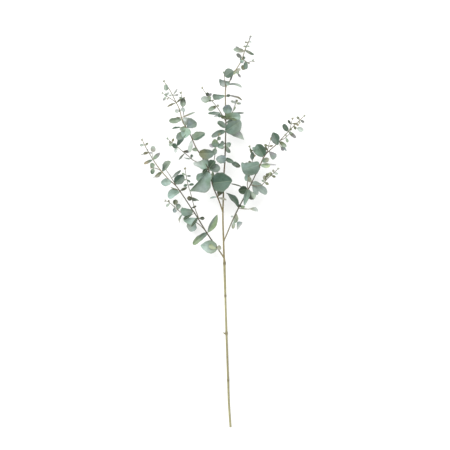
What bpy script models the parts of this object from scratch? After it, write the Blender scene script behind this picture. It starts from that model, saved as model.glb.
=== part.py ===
"""A cut eucalyptus branch that lies on a flat surface.

A bare cane carries a leader and, through it, three side branches, and leafy twigs grow from all four.
Each leafy stem is one solid: a tapered stem with its leaf blades grown into it.
Tables are in millimetres: x to the right, y from the cut end to the tips, z up from the surface.
"""

import math
import random

import bmesh
import bpy
from mathutils import Matrix, Vector

MM = 0.001

CANE_RADIUS = 2.7
CANE_SIDES = 8
STEM_SIDES = 6
TWIG_SIDES = 4
# Each stem stops this far short of the bark that it grows from.
SEAT_GAP = 0.3
# How far apart the rings of a stem are along it.
CANE_STEP = 40.0
STEM_STEP = 24.0
TWIG_STEP = 15.0
SHARP_ANGLE = 38.0

BLADE_THICKNESS = 0.7
ROOT_HALF_WIDTH = 0.8
ROOT_SHARE = 0.35
ROOT_PAST_AXIS = 0.15
# A stalk longer than this has a ring of its own where the blade begins.
LONG_STALK = 5.0
LEAST_FULLNESS = 0.55
LARGE_LEAF = 36.0
SMALL_LEAF = 20.0
TINY_LEAF = 11.5
# Where a blade has a row of points, in shares of its length.
STATIONS = {
    "large": (0.14, 0.38, 0.64, 0.88),
    "middle": (0.22, 0.54, 0.84),
    "small": (0.38, 0.78),
    "tiny": (0.5,),
}
CUP = 0.16

# A blade's half width follows sin(pi * t ** lean) ** fullness from its foot, t = 0, to its tip, t = 1.
FORMS = {"round": (1.05, 0.52), "paddle": (1.3, 0.6), "fan": (1.75, 0.62), "long": (1.0, 0.8)}

# The opening pair at a growing tip: length, spread about it, and how far each blade turns and leans.
TIP_LEAF = 6.0
TIP_LEAF_SPREAD = 0.15
TIP_LEAF_STALK = 0.8
TIP_TURN = 17.0
TIP_LEAN = 25.0
SEED = 11

LEAF_ROUGHNESS = 0.62
WOOD_ROUGHNESS = 0.6
BARK_ROUGHNESS = 0.7
WOOD = "#a08c66"
CANE_BARK = "#b5a78c"
TINTS = {
    "teal": "#a3bfb2",
    "pale": "#b3c7bb",
    "blue": "#8ea5a0",
    "grey": "#93a79c",
    "green": "#a2b592",
    "olive": "#83906f",
    "dark": "#5f786a",
    "purple": "#a2a2a4",
}


def leaf(direction, length, width, tint, lean=0, side=1, curl=14, form="paddle", blade=None, stalk=2.5):
    """One blade as seen from above: where it points, how long and wide it looks, and how it is turned.

    lean lifts its tip, side says which edge rises where it looks narrower than it is, curl bends it
    along its length, blade is its true width where the rule below doesn't give it.
    """
    true_width = blade or max(width, LEAST_FULLNESS * length)
    return {
        "direction": math.radians(direction),
        "length": length / math.cos(math.radians(lean)),
        "width": true_width,
        "lean": math.radians(lean),
        "roll": side * math.acos(min(1.0, width / true_width)),
        "curl": math.radians(curl),
        "form": form,
        "stalk": stalk,
        "tint": tint,
    }


CANE_ROUTE = [(15, 0, 2.4), (11, 60, 2.4), (9, 118, 4), (5, 232, 9), (2, 330, 15), (0, 400, 21), (0, 415, 22.5)]
# Where the cane swells at an old leaf joint: y, length of the swelling, added radius.
CANE_JOINTS = [(118, 9, 0.35), (236, 11, 0.8), (330, 9, 0.35), (412, 12, 0.7)]
# A swelling has rings at these shares of its length from its middle.
SWELLING_RINGS = (-0.5, -0.12, 0.12, 0.5)
CANE_BUD = {"at": (3.4, 234, 9), "direction": (-1, 0.55, 0.15), "length": 8.0, "radius": 1.9}
# The bud's outline: shares of its length and of its radius.
BUD_OUTLINE = ((0, 1), (0.45, 0.95), (0.8, 0.6), (1, 0.2))

STEMS = {
    "leader": {
        "on": "cane",
        "route": [
            (0, 415.3, 22.5), (-1, 425, 23.5), (-2.5, 470, 28), (-4, 530, 33), (-2.5, 590, 37), (-1, 640, 39),
            (1, 668, 40), (2.5, 720, 39), (3.5, 760, 38), (2.5, 800, 35), (3, 850, 31), (12, 865, 29.5),
            (22, 885, 27), (33, 903, 25), (43, 920, 23), (51, 945, 20), (60, 966, 17), (64, 977, 15.5),
        ],
        "radius": (2.3, 0.85),
        "leaves": [
            (1, 670, leaf(175, 25, 22, "blue", 6, form="round")),
            (1, 672, leaf(-25, 41, 12, "dark", 8, -1, form="fan", blade=18)),
            (2, 703, leaf(20, 16, 12, "dark", 24, form="round")),
            (2, 707, leaf(-52, 23, 9, "grey", -10)),
            (2.5, 711, leaf(170, 11, 7, "teal", 10)),
            (4, 742, leaf(188, 38, 14, "dark", 0, -1, -20)),
            (4, 744, leaf(16, 43, 38, "blue", 10, form="round")),
            (4, 742, leaf(-24, 48, 16, "grey", -8, form="long", stalk=4)),
            (3.5, 757, leaf(155, 24, 12, "grey", 14)),
            (3, 778, leaf(62, 19, 14, "olive", 34)),
            (3, 780, leaf(100, 11, 8, "green", 30)),
            (3, 774, leaf(4, 39, 22, "green", 12, stalk=12)),
            (2.5, 784, leaf(72, 26, 24, "blue", 24, form="round")),
            (3, 786, leaf(4, 47, 4, "teal", 20, curl=8, blade=9, stalk=14)),
            (2.5, 829, leaf(181, 36, 18, "teal", 6)),
            (2.5, 829, leaf(6, 41, 6, "dark", 4, -1, -38, blade=13)),
            (3, 853, leaf(130, 26, 18, "pale", 8)),
            (5, 857, leaf(14, 42, 6, "grey", 6, -1, -50, blade=13)),
            (28, 894, leaf(218, 12, 10, "olive", 12)),
            (32, 900, leaf(-8, 12, 6, "olive", 15)),
            (31, 897, leaf(-47, 15, 10, "green", -64, blade=15)),
            (45, 925, leaf(150, 19, 8, "grey", 5)),
            (43, 919, leaf(232, 11, 9, "teal", 15, form="round")),
            (51, 944, leaf(168, 29, 12, "teal", 5)),
            (51, 946, leaf(-22, 26, 6, "grey", 8, -1, blade=11)),
            (55, 955, leaf(165, 8, 4, "olive", 8)),
            (61, 968, leaf(170, 9, 5, "green", 10)),
            (61, 967, leaf(-8, 9, 4, "green", 10)),
        ],
    },
    "branch_left": {
        "on": "leader",
        "route": [
            (-1, 425, 23.5), (-13, 443, 27), (-33, 471, 29), (-50, 497, 30), (-68, 527, 31), (-84, 551, 32),
            (-105, 583, 32), (-122, 606, 31), (-142, 624, 29), (-168, 655, 24), (-184, 680, 21),
            (-196, 700, 19), (-205, 718, 17),
        ],
        "radius": (1.7, 0.8),
        "leaves": [
            (-22, 455, leaf(176, 39, 34, "green", 6, form="round")),
            (-21, 453, leaf(20, 14, 13, "green", 18)),
            (-43, 487, leaf(214, 47, 15, "olive", -8, 1, 18)),
            (-42, 485, leaf(61, 54, 21, "grey", 12, -1, form="long")),
            (-66, 524, leaf(195, 40, 24, "teal", 16)),
            (-68, 528, leaf(172, 38, 7, "dark", 11, -1, 28, blade=15, stalk=4)),
            (-65, 521, leaf(232, 25, 5, "dark", 24, 1, 18, blade=12)),
            (-67, 524, leaf(-8, 14, 6, "dark", -6, blade=8)),
            (-83, 550, leaf(203, 33, 23, "teal", 12)),
            (-84, 549, leaf(32, 9, 5, "dark", -10)),
            (-113, 594, leaf(205, 36, 27, "teal", 10)),
            (-112, 592, leaf(32, 20, 6, "olive", -14, blade=11)),
            (-132, 615, leaf(188, 29, 19, "pale", 12)),
            (-126, 609, leaf(38, 30, 25, "dark", -10, form="round")),
            (-156, 641, leaf(58, 33, 15, "olive", 10)),
            (-156, 639, leaf(216, 28, 9, "olive", 6, -1, -18, blade=14)),
            (-178, 671, leaf(208, 26, 9, "dark", -45, 1, 10, blade=15)),
            (-177, 669, leaf(38, 27, 7, "grey", 8, -1, 18, blade=13)),
            (-180, 673, leaf(84, 34, 12, "grey", 12, stalk=16)),
            (-190, 690, leaf(201, 21, 5, "dark", 4, 1, 22, blade=9)),
            (-189, 688, leaf(12, 9, 5, "olive", 8)),
            (-200, 708, leaf(180, 13, 6, "olive", 6)),
            (-199, 706, leaf(48, 9, 5, "green", 6)),
        ],
    },
    "branch_right": {
        "on": "leader",
        "route": [
            (-2.5, 466, 27.6), (8, 490, 31), (17, 512, 33), (30, 540, 35), (43, 565, 36), (57, 592, 37),
            (72, 622, 37), (87, 653, 36), (100, 680, 34), (115, 696, 32), (130, 709, 30), (150, 731, 27),
            (170, 752, 23), (184, 766, 20), (198, 779, 17.5),
        ],
        "radius": (1.7, 0.8),
        "leaves": [
            (29, 536, leaf(262, 35, 12, "pale", -6, -1, 12)),
            (25, 527, leaf(-50, 31, 13, "blue", 6, stalk=12)),
            (27, 533, leaf(190, 10, 5, "olive", 10)),
            (35, 550, leaf(106, 50, 17, "dark", 10, 1, -50)),
            (36, 552, leaf(-7, 50, 12, "pale", 8, stalk=20)),
            (58, 597, leaf(186, 27, 22, "dark", 14, form="round")),
            (58, 595, leaf(143, 42, 4, "olive", -4, 1, -30, blade=9, stalk=20)),
            (57, 593, leaf(256, 40, 16, "teal", -6)),
            (58, 594, leaf(-47, 29, 18, "dark", 8, form="round")),
            (68, 615, leaf(-31, 48, 21, "grey", -8, form="fan")),
            (68, 612, leaf(118, 16, 11, "grey", 24)),
            (88, 659, leaf(194, 47, 34, "grey", 12, form="fan")),
            (88, 659, leaf(0, 41, 7, "grey", 6, -1, 10, blade=14)),
            (89, 655, leaf(26, 26, 14, "green", 20)),
            (98, 678, leaf(122, 37, 29, "dark", 12, form="round")),
            (97, 676, leaf(143, 38, 13, "grey", 0)),
            (112, 692, leaf(-50, 31, 16, "grey", 8)),
            (110, 690, leaf(135, 17, 5, "olive", -16, 1, 40, blade=8)),
            (131, 709.5, leaf(110, 31, 24, "teal", 10, form="round", stalk=-1)),
            (137, 715, leaf(-43, 30, 14, "grey", 10)),
            (134, 712, leaf(-64, 24, 9, "purple", -10, blade=13)),
            (160, 742, leaf(125, 27, 12, "dark", 10)),
            (160, 741, leaf(-45, 25, 9, "grey", -48, -1, 10, blade=15)),
            (161.5, 743, leaf(22, 16, 5, "dark", 6, blade=7, stalk=7)),
            (172, 754, leaf(-25, 27, 10, "pale", 10, stalk=8)),
            (189, 770, leaf(122, 12, 6, "olive", 8)),
            (189, 771, leaf(-15, 13, 6, "green", 8)),
        ],
    },
    "branch_centre": {
        "on": "leader",
        "route": [
            (-3.8, 540, 33.8), (-8, 552, 38), (-16, 574, 46), (-28, 602, 55), (-40, 645, 62), (-55, 675, 66),
            (-72, 702, 68), (-84, 730, 68), (-100, 757, 67), (-107, 775, 66), (-112, 795, 64),
            (-124, 820, 60), (-136, 843, 55), (-149, 863, 51),
        ],
        "radius": (1.7, 0.8),
        "leaves": [
            (-18, 578, leaf(194, 18, 5, "pale", 5, blade=9)),
            (-17, 576, leaf(-17, 23, 6, "olive", 16, -1, blade=10)),
            (-22, 587, leaf(-6, 24, 13, "dark", 10)),
            (-32, 611, leaf(4, 52, 49, "dark", 7, curl=10, form="round", stalk=-1.5)),
            (-31, 608, leaf(96, 34, 6, "green", 6, 1, blade=12)),
            (-40, 643, leaf(240, 59, 43, "blue", -14, form="fan")),
            (-39, 641, leaf(204, 31, 20, "grey", 12, stalk=4)),
            (-41, 648, leaf(158, 40, 27, "teal", 10)),
            (-40, 645, leaf(20, 31, 20, "dark", 8)),
            (-40, 647, leaf(60, 27, 15, "dark", 20)),
            (-64, 688, leaf(-10, 36, 25, "olive", 12, stalk=-2)),
            (-65, 688, leaf(155, 15, 7, "grey", 10)),
            (-79, 718, leaf(32, 36, 20, "dark", 12)),
            (-80, 721, leaf(264, 34, 8, "pale", -8, 1, blade=13)),
            (-93, 748, leaf(248, 32, 29, "blue", 12, form="round")),
            (-91, 742, leaf(218, 36, 16, "green", -8)),
            (-97, 752, leaf(186, 18, 16, "blue", 24, form="round")),
            (-94, 747, leaf(50, 32, 27, "blue", 8, form="round")),
            (-98, 754, leaf(200, 33, 5, "dark", 2, 1, 20, blade=10, stalk=13)),
            (-106, 773, leaf(188, 34, 17, "green", 8, stalk=6)),
            (-107, 776, leaf(24, 36, 6, "olive", 16, 1, 12, blade=12)),
            (-111, 795, leaf(224, 17, 12, "blue", 10)),
            (-110, 792, leaf(-22, 14, 12, "pale", 14)),
            (-120, 811, leaf(192, 26, 6, "dark", 4, 1, -18, blade=12)),
            (-120, 812, leaf(46, 14, 6, "dark", 12)),
            (-130, 830, leaf(62, 18, 5, "purple", 8, blade=8)),
            (-129, 828, leaf(4, 12, 5, "grey", 8)),
            (-138, 848, leaf(184, 8, 4, "olive", 6)),
            (-146, 860, leaf(272, 18, 13, "grey", 24, form="round")),
        ],
    },
    "twig_left_1": {
        "on": "branch_left",
        "route": [
            (-45, 489, 29.6), (-54, 500, 24), (-68, 512, 18), (-85, 522, 16), (-105, 536, 15.5), (-120, 548, 16),
            (-137, 563, 17), (-145, 567, 17),
        ],
        "radius": (1.0, 0.7),
        "leaves": [
            (-80, 519, leaf(264, 29, 24, "pale", -8, form="round")),
            (-104, 535, leaf(240, 21, 5, "dark", 6, 1, 40, blade=11)),
            (-106, 536, leaf(100, 12, 7, "teal", -8)),
            (-117, 545, leaf(88, 15, 12, "grey", -6)),
            (-118, 546, leaf(206, 13, 8, "dark", 10)),
            (-125, 552, leaf(250, 13, 7, "teal", 8)),
            (-125, 552, leaf(80, 20, 13, "olive", 6, form="round", stalk=5)),
            (-137, 563, leaf(240, 13, 7, "pale", 10)),
        ],
    },
    "twig_left_2": {
        "on": "branch_left",
        "route": [
            (-64, 521, 31), (-67, 531, 38), (-77, 558, 43), (-84, 585, 42), (-91, 608, 42), (-96, 632, 40),
            (-98, 645, 38),
        ],
        "radius": (1.0, 0.7),
        "leaves": [
            (-80, 571, leaf(156, 13, 11, "dark", 8, form="round")),
            (-81, 577, leaf(-28, 21, 13, "dark", 10, form="long")),
            (-91, 609, leaf(206, 11, 6, "dark", 8)),
            (-90, 607, leaf(12, 14, 5, "dark", 8, blade=7)),
            (-94, 622, leaf(196, 9, 5, "olive", 8)),
            (-95, 632, leaf(150, 11, 5, "grey", 8)),
            (-95, 630, leaf(20, 11, 4, "dark", 8, blade=6)),
        ],
    },
    "twig_left_3": {
        "on": "branch_left",
        "route": [(-121, 605, 31), (-128, 618, 38), (-136, 631, 41), (-145, 644, 42)],
        "radius": (0.95, 0.7),
        "leaves": [
            (-130, 622, leaf(52, 27, 6, "pale", 6, 1, blade=10)),
            (-133, 627, leaf(204, 9, 5, "olive", 8)),
        ],
    },
    "twig_left_4": {
        "on": "branch_left",
        "route": [(-157, 641, 26.5), (-163, 646, 23), (-171, 649, 21), (-180, 651, 20)],
        "radius": (0.9, 0.7),
        "leaves": [
            (-176, 650, leaf(238, 17, 9, "olive", 6)),
            (-178, 650, leaf(110, 12, 9, "green", 6, form="round")),
        ],
    },
    "twig_right_1": {
        "on": "branch_right",
        "route": [
            (59, 597, 36.9), (57, 606, 32), (58, 618, 27), (61, 632, 25), (66, 652, 25), (70, 674, 26),
            (67, 693, 26), (64, 701, 26),
        ],
        "radius": (1.0, 0.7),
        "leaves": [
            (64, 646, leaf(256, 30, 11, "pale", -12)),
            (69, 668, leaf(84, 24, 12, "grey", 8, form="round")),
            (68, 664, leaf(170, 9, 5, "olive", 8)),
            (70, 682, leaf(110, 15, 5, "dark", 8, blade=8)),
            (69, 680, leaf(10, 8, 5, "dark", 8)),
        ],
    },
    "twig_right_2": {
        "on": "branch_right",
        "route": [
            (65, 608, 37), (77, 605, 43), (90, 606, 46), (98, 612, 47), (106, 622, 47), (117, 632, 46),
            (128, 642, 44), (132, 646, 43),
        ],
        "radius": (1.0, 0.7),
        "leaves": [
            (101, 616, leaf(96, 16, 10, "dark", 8)),
            (100, 614, leaf(-40, 9, 6, "dark", 6)),
            (108, 624, leaf(96, 13, 8, "olive", 8, 1, 30)),
            (112, 628, leaf(70, 13, 7, "dark", 8)),
            (116, 631, leaf(-14, 12, 5, "grey", 8, blade=7)),
            (122, 637, leaf(-8, 10, 6, "pale", 8)),
            (123, 638, leaf(110, 8, 5, "green", 8)),
        ],
    },
    "twig_right_3": {
        "on": "branch_right",
        "route": [(102, 682, 33.7), (108, 696, 37), (111, 708, 39), (115, 719, 40)],
        "radius": (0.9, 0.7),
        "leaves": [
            (110, 705, leaf(170, 10, 5, "olive", 8)),
            (110, 703, leaf(24, 11, 5, "dark", 8, blade=7)),
        ],
    },
    "twig_right_4": {
        "on": "branch_right",
        "route": [(141, 720, 28.4), (147, 722, 32), (154, 727, 34), (162, 735, 35)],
        "radius": (0.9, 0.7),
        "leaves": [
            (153, 726, leaf(-58, 13, 7, "olive", 8)),
            (155, 728, leaf(118, 8, 5, "green", 8)),
        ],
    },
    "twig_right_5": {
        "on": "branch_right",
        "route": [(163.5, 746, 24.6), (165, 752, 28), (167, 761, 31), (169, 770, 32)],
        "radius": (0.9, 0.7),
        "leaves": [
            (165, 757, leaf(8, 17, 6, "dark", 8, -1, -30, blade=8)),
            (165, 759, leaf(140, 12, 6, "dark", 8)),
        ],
    },
    "twig_centre_1": {
        "on": "branch_centre",
        "route": [
            (-38, 636, 60.8), (-48, 648, 53), (-62, 661, 50), (-78, 669, 48), (-92, 681, 46), (-110, 696, 43),
            (-128, 711, 40), (-140, 721, 38),
        ],
        "radius": (1.0, 0.7),
        "leaves": [
            (-83, 673, leaf(86, 10, 6, "olive", -8)),
            (-82, 671, leaf(226, 22, 6, "purple", 6, 1, 14, blade=10)),
            (-100, 688, leaf(24, 26, 7, "purple", -6, blade=12)),
            (-98, 685, leaf(224, 26, 6, "olive", 8, -1, 20, blade=11)),
            (-117, 701, leaf(160, 15, 12, "dark", 10)),
            (-119, 703, leaf(78, 34, 13, "teal", 6)),
            (-118, 702, leaf(252, 15, 8, "pale", 6)),
            (-131, 713, leaf(236, 11, 9, "pale", 8, form="round")),
            (-131, 714, leaf(62, 9, 5, "dark", 8)),
        ],
    },
    "twig_centre_2": {
        "on": "branch_centre",
        "route": [(-121, 813, 61), (-130, 819, 63), (-141, 826, 63), (-152, 834, 62)],
        "radius": (0.9, 0.7),
        "leaves": [
            (-146, 830, leaf(250, 14, 8, "green", 8)),
            (-146, 829, leaf(78, 12, 7, "teal", 8)),
        ],
    },
    "twig_centre_3": {
        "on": "branch_centre",
        "route": [(-96, 751, 67.3), (-97, 764, 61), (-101, 780, 57), (-104, 800, 56), (-104, 816, 56), (-108, 833, 55)],
        "radius": (0.95, 0.7),
        "leaves": [
            (-104, 800, leaf(78, 22, 14, "dark", 8, form="round")),
            (-104, 798, leaf(48, 15, 11, "green", -8)),
            (-105, 821, leaf(150, 9, 5, "olive", 8)),
        ],
    },
    "twig_centre_4": {
        "on": "branch_centre",
        "route": [
            (-39, 641, 61.5), (-33, 655, 55), (-26, 670, 53), (-23, 690, 53), (-20, 710, 54), (-15, 729, 54),
        ],
        "radius": (0.95, 0.7),
        "leaves": [
            (-22, 700, leaf(252, 19, 13, "grey", 10)),
            (-22, 699, leaf(146, 18, 8, "pale", 8, stalk=6)),
            (-21, 703, leaf(86, 24, 21, "green", 18, form="round")),
            (-21, 706, leaf(-4, 18, 12, "grey", 6)),
            (-18, 718, leaf(58, 13, 8, "olive", 8)),
            (-18, 716, leaf(160, 10, 6, "olive", 8)),
        ],
    },
    "twig_leader_1": {
        "on": "leader",
        "route": [
            (3.5, 766, 37.8), (-3, 777, 41), (-9, 787, 42), (-18, 801, 43), (-30, 815, 43), (-42, 828, 42),
            (-50, 841, 41), (-54, 847, 40),
        ],
        "radius": (1.0, 0.7),
        "leaves": [
            (-9, 787, leaf(183, 34, 9, "teal", 6, -1, blade=13)),
            (-5, 780, leaf(192, 13, 8, "dark", 10)),
            (-8, 786, leaf(202, 18, 7, "pale", -6)),
            (-21, 804, leaf(196, 21, 9, "green", 6)),
            (-20, 803, leaf(14, 9, 5, "dark", 6)),
            (-33, 818, leaf(172, 26, 16, "teal", 12)),
            (-32, 817, leaf(8, 9, 5, "dark", 6)),
            (-43, 829, leaf(104, 13, 9, "dark", 8)),
            (-42, 828, leaf(52, 12, 6, "grey", 8)),
        ],
    },
    "twig_leader_2": {
        "on": "leader",
        "route": [(3, 771, 37.3), (13, 780, 32), (20, 790, 27), (25, 804, 23), (30, 821, 21)],
        "radius": (0.95, 0.7),
        "leaves": [
            (27, 811, leaf(163, 14, 7, "green", 6)),
            (27, 812, leaf(0, 14, 7, "green", 6)),
        ],
    },
    "twig_leader_3": {
        "on": "leader",
        "route": [(3, 845, 31.5), (2, 858, 37), (0, 869, 41), (-1, 884, 43)],
        "radius": (0.95, 0.7),
        "leaves": [
            (-1, 878, leaf(34, 27, 24, "dark", 6, form="round")),
        ],
    },
    "twig_leader_4": {
        "on": "leader",
        "route": [(45, 924, 22.6), (50, 919, 26), (58, 914, 28), (68, 917, 29)],
        "radius": (0.9, 0.7),
        "leaves": [
            (52, 916, leaf(262, 20, 17, "dark", 6, form="round", stalk=5)),
            (56, 914, leaf(284, 13, 6, "dark", 8)),
            (58, 914, leaf(80, 9, 6, "olive", 8)),
        ],
    },
}


def linear(code):
    """A material's colour for the shader from its #rrggbb code."""
    channels = [int(code[i : i + 2], 16) / 255 for i in (1, 3, 5)]
    return [c / 12.92 if c <= 0.04045 else ((c + 0.055) / 1.055) ** 2.4 for c in channels] + [1.0]


def material(name, code, roughness):
    made = bpy.data.materials.get(name) or bpy.data.materials.new(name)
    made.use_nodes = True
    shader = made.node_tree.nodes["Principled BSDF"]
    shader.inputs["Base Color"].default_value = linear(code)
    shader.inputs["Roughness"].default_value = roughness
    shader.inputs["Metallic"].default_value = 0.0
    return made


def smooth_path(route, spacing):
    """Points about one spacing apart on the smooth curve through a route."""
    points = [Vector(p) for p in route]
    points = [2 * points[0] - points[1]] + points + [2 * points[-1] - points[-2]]
    path = []
    for p0, p1, p2, p3 in zip(points, points[1:], points[2:], points[3:]):
        steps = max(1, round((p2 - p1).length / spacing))
        for i in range(steps):
            t = i / steps
            bend = (2 * p0 - 5 * p1 + 4 * p2 - p3) * t * t + (3 * p1 - p0 - 3 * p2 + p3) * t**3
            path.append(0.5 * (2 * p1 + (p2 - p0) * t + bend))
    path.append(points[-2])
    return path


def distances(path):
    along = [0.0]
    for start, end in zip(path, path[1:]):
        along.append(along[-1] + (end - start).length)
    return along


def tangents(path):
    last = len(path) - 1
    return [(path[min(i + 1, last)] - path[max(i - 1, 0)]).normalized() for i in range(last + 1)]


def ring(centre, tangent, radius, sides):
    """The corners of a stem's cross-section, with a flat side down."""
    side = Vector((0, 0, 1)).cross(tangent).normalized()
    up = tangent.cross(side)
    turns = [2 * math.pi * (i + 0.5) / sides for i in range(sides)]
    return [centre + radius * (math.cos(a) * side + math.sin(a) * up) for a in turns]


def seat_on(corners, direction, seat, outward):
    """Slides a stem's first ring along it on to the plane through seat that faces outward."""
    return [c + direction * ((seat - c).dot(outward) / direction.dot(outward)) for c in corners]


def on_surface(point):
    return Vector((point.x, point.y, max(point.z, 0.0)))


def mesh_object(name, points, faces, surface):
    mesh = bpy.data.meshes.new(name)
    mesh.from_pydata([p * MM for p in points], [], faces)
    work = bmesh.new()
    work.from_mesh(mesh)
    bmesh.ops.recalc_face_normals(work, faces=work.faces)
    work.to_mesh(mesh)
    work.free()
    mesh.materials.append(surface)
    made = bpy.data.objects.new(name, mesh)
    bpy.context.scene.collection.objects.link(made)
    return made


def stem_object(name, path, radii, sides, surface, seat=None):
    """A tapered stem: rings along its path, closed at both ends, the first on its seat if it has one."""
    points = []
    for i, (centre, tangent, radius) in enumerate(zip(path, tangents(path), radii)):
        corners = ring(centre, tangent, radius, sides)
        if i == 0 and seat:
            corners = seat_on(corners, tangent, *seat)
        points += [on_surface(c) for c in corners]
    faces = [tuple(range(sides)), tuple(len(points) - 1 - i for i in range(sides))]
    for start in range(0, len(points) - sides, sides):
        for i in range(sides):
            j = (i + 1) % sides
            faces.append((start + i, start + j, start + sides + j, start + sides + i))
    return mesh_object(name, points, faces, surface)


def leaf_frame(blade, s):
    """Where a blade's midrib is after s millimetres, from the stem's axis, with its across and face directions."""
    flat = Vector((math.cos(blade["direction"]), math.sin(blade["direction"]), 0))
    along = flat * math.cos(blade["lean"]) + Vector((0, 0, math.sin(blade["lean"])))
    level = Vector((0, 0, 1)).cross(along).normalized()
    raised = along.cross(level)
    across = level * math.cos(blade["roll"]) + raised * math.sin(blade["roll"])
    face = along.cross(across)
    bend = blade["curl"] * s / blade["length"]
    if bend == 0:
        return along * s, across, face
    reach = s / bend
    place = along * math.sin(bend) * reach + face * (1 - math.cos(bend)) * reach
    return place, across, face * math.cos(bend) - along * math.sin(bend)


def half_width(blade, t):
    lean, fullness = FORMS[blade["form"]]
    return 0.5 * blade["width"] * math.sin(math.pi * t**lean) ** fullness


def size_class(length):
    if length < TINY_LEAF:
        return "tiny"
    if length < SMALL_LEAF:
        return "small"
    return "middle" if length < LARGE_LEAF else "large"


def leaf_object(name, root, stem_radius, blade):
    """A thin cupped blade, from inside the stem to its tip, split into triangles alike on both faces."""
    kind = size_class(blade["length"])
    foot = stem_radius + blade["stalk"]
    reach = blade["length"] - foot
    rows = []
    place, across, face = leaf_frame(blade, -ROOT_PAST_AXIS * stem_radius)
    half_root = min(ROOT_HALF_WIDTH, ROOT_SHARE * stem_radius)
    rows.append([(place + across * half_root, face), (place - across * half_root, face)])
    if blade["stalk"] > LONG_STALK:
        place, across, face = leaf_frame(blade, foot)
        rows.append([(place + across * ROOT_HALF_WIDTH, face), (place - across * ROOT_HALF_WIDTH, face)])
    for t in STATIONS[kind]:
        place, across, face = leaf_frame(blade, foot + t * reach)
        half = half_width(blade, t)
        rim = place + face * CUP * half
        rows.append([(rim + across * half, face), (place, face), (rim - across * half, face)])
        if kind == "tiny":
            del rows[-1][1]
    place, across, face = leaf_frame(blade, blade["length"])
    rows.append([(place, face)])

    points, numbers = [], []
    for row in rows:
        numbers.append([])
        for centre, face in row:
            half = face * BLADE_THICKNESS / 2
            lift = max(0.0, abs(half.z) - (root + centre).z)
            middle = root + centre + Vector((0, 0, lift))
            numbers[-1].append(len(points) // 2)
            points += [middle + half, middle - half]

    def top_and_bottom(a, b, c):
        return [(2 * a, 2 * b, 2 * c), (2 * c + 1, 2 * b + 1, 2 * a + 1)]

    faces = []
    for near, far in zip(numbers, numbers[1:]):
        if len(far) == 1:
            split = [(a, b, far[0]) for a, b in zip(near, near[1:])]
        elif len(far) == 2:
            split = [(near[0], near[1], far[1]), (near[0], far[1], far[0])]
        elif len(near) == 2:
            split = [(near[0], far[1], far[0]), (near[0], near[1], far[1]), (near[1], far[2], far[1])]
        else:
            split = [(near[0], far[1], far[0]), (near[0], near[1], far[1])]
            split += [(near[1], near[2], far[1]), (near[2], far[2], far[1])]
        for corners in split:
            faces += top_and_bottom(*corners)
    outline = [row[0] for row in numbers] + [row[-1] for row in reversed(numbers[:-1])]
    for a, b in zip(outline, outline[1:] + outline[:1]):
        faces += [(2 * a, 2 * b, 2 * b + 1), (2 * a, 2 * b + 1, 2 * a + 1)]
    surface = material("leaf_" + blade["tint"], TINTS[blade["tint"]], LEAF_ROUGHNESS)
    return mesh_object(name, points, faces, surface)


def tip_leaves(path, draw):
    """The pair that opens at a growing tip, one blade above the other."""
    heading = tangents(path)[-1]
    direction = math.degrees(math.atan2(heading.y, heading.x))
    at = path[-1] - heading * TIP_LEAF_STALK
    size = TIP_LEAF * draw.uniform(1 - TIP_LEAF_SPREAD, 1 + TIP_LEAF_SPREAD)
    found = []
    for hand in (1, -1):
        tint = draw.choice(("green", "olive", "grey"))
        turned = direction + hand * TIP_TURN
        blade = leaf(turned, size, size / 2, tint, hand * TIP_LEAN, form="long", stalk=TIP_LEAF_STALK)
        found.append((at.x, at.y, blade))
    return found


def stem_at(path, radii, x, y):
    """The stem's axis and radius nearest to a place seen from above."""
    best = None
    for start, end, r_start, r_end in zip(path, path[1:], radii, radii[1:]):
        span = (end - start).to_2d()
        t = min(1.0, max(0.0, (Vector((x, y)) - start.to_2d()).dot(span) / span.length_squared))
        found = start.lerp(end, t)
        gap = (found.to_2d() - Vector((x, y))).length
        if best is None or gap < best[0]:
            best = (gap, found, r_start + (r_end - r_start) * t, (end - start).normalized())
    return best[1:]


def grow_together(stem, parts):
    """Joins the parts to the stem in one solid and removes them."""
    group = bpy.data.collections.new(stem.name + "_parts")
    bpy.context.scene.collection.children.link(group)
    for part in parts:
        group.objects.link(part)
    union = stem.modifiers.new("grown_together", "BOOLEAN")
    union.operation = "UNION"
    union.operand_type = "COLLECTION"
    union.collection = group
    union.solver = "EXACT"
    union.material_mode = "TRANSFER"
    graph = bpy.context.evaluated_depsgraph_get()
    joined = bpy.data.meshes.new_from_object(stem.evaluated_get(graph))
    stem.modifiers.clear()
    stem.data = joined
    for part in parts:
        bpy.data.objects.remove(part)
    bpy.data.collections.remove(group)


def finish_object(stem, origin, parent, parent_origin):
    """Puts the object's origin on its joint, hangs it on its parent and shades it smooth."""
    stem.data.transform(Matrix.Translation(-origin * MM))
    stem.data.shade_smooth()
    stem.data.set_sharp_from_angle(angle=math.radians(SHARP_ANGLE))
    stem.parent = parent
    stem.location = (origin - parent_origin) * MM


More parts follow.
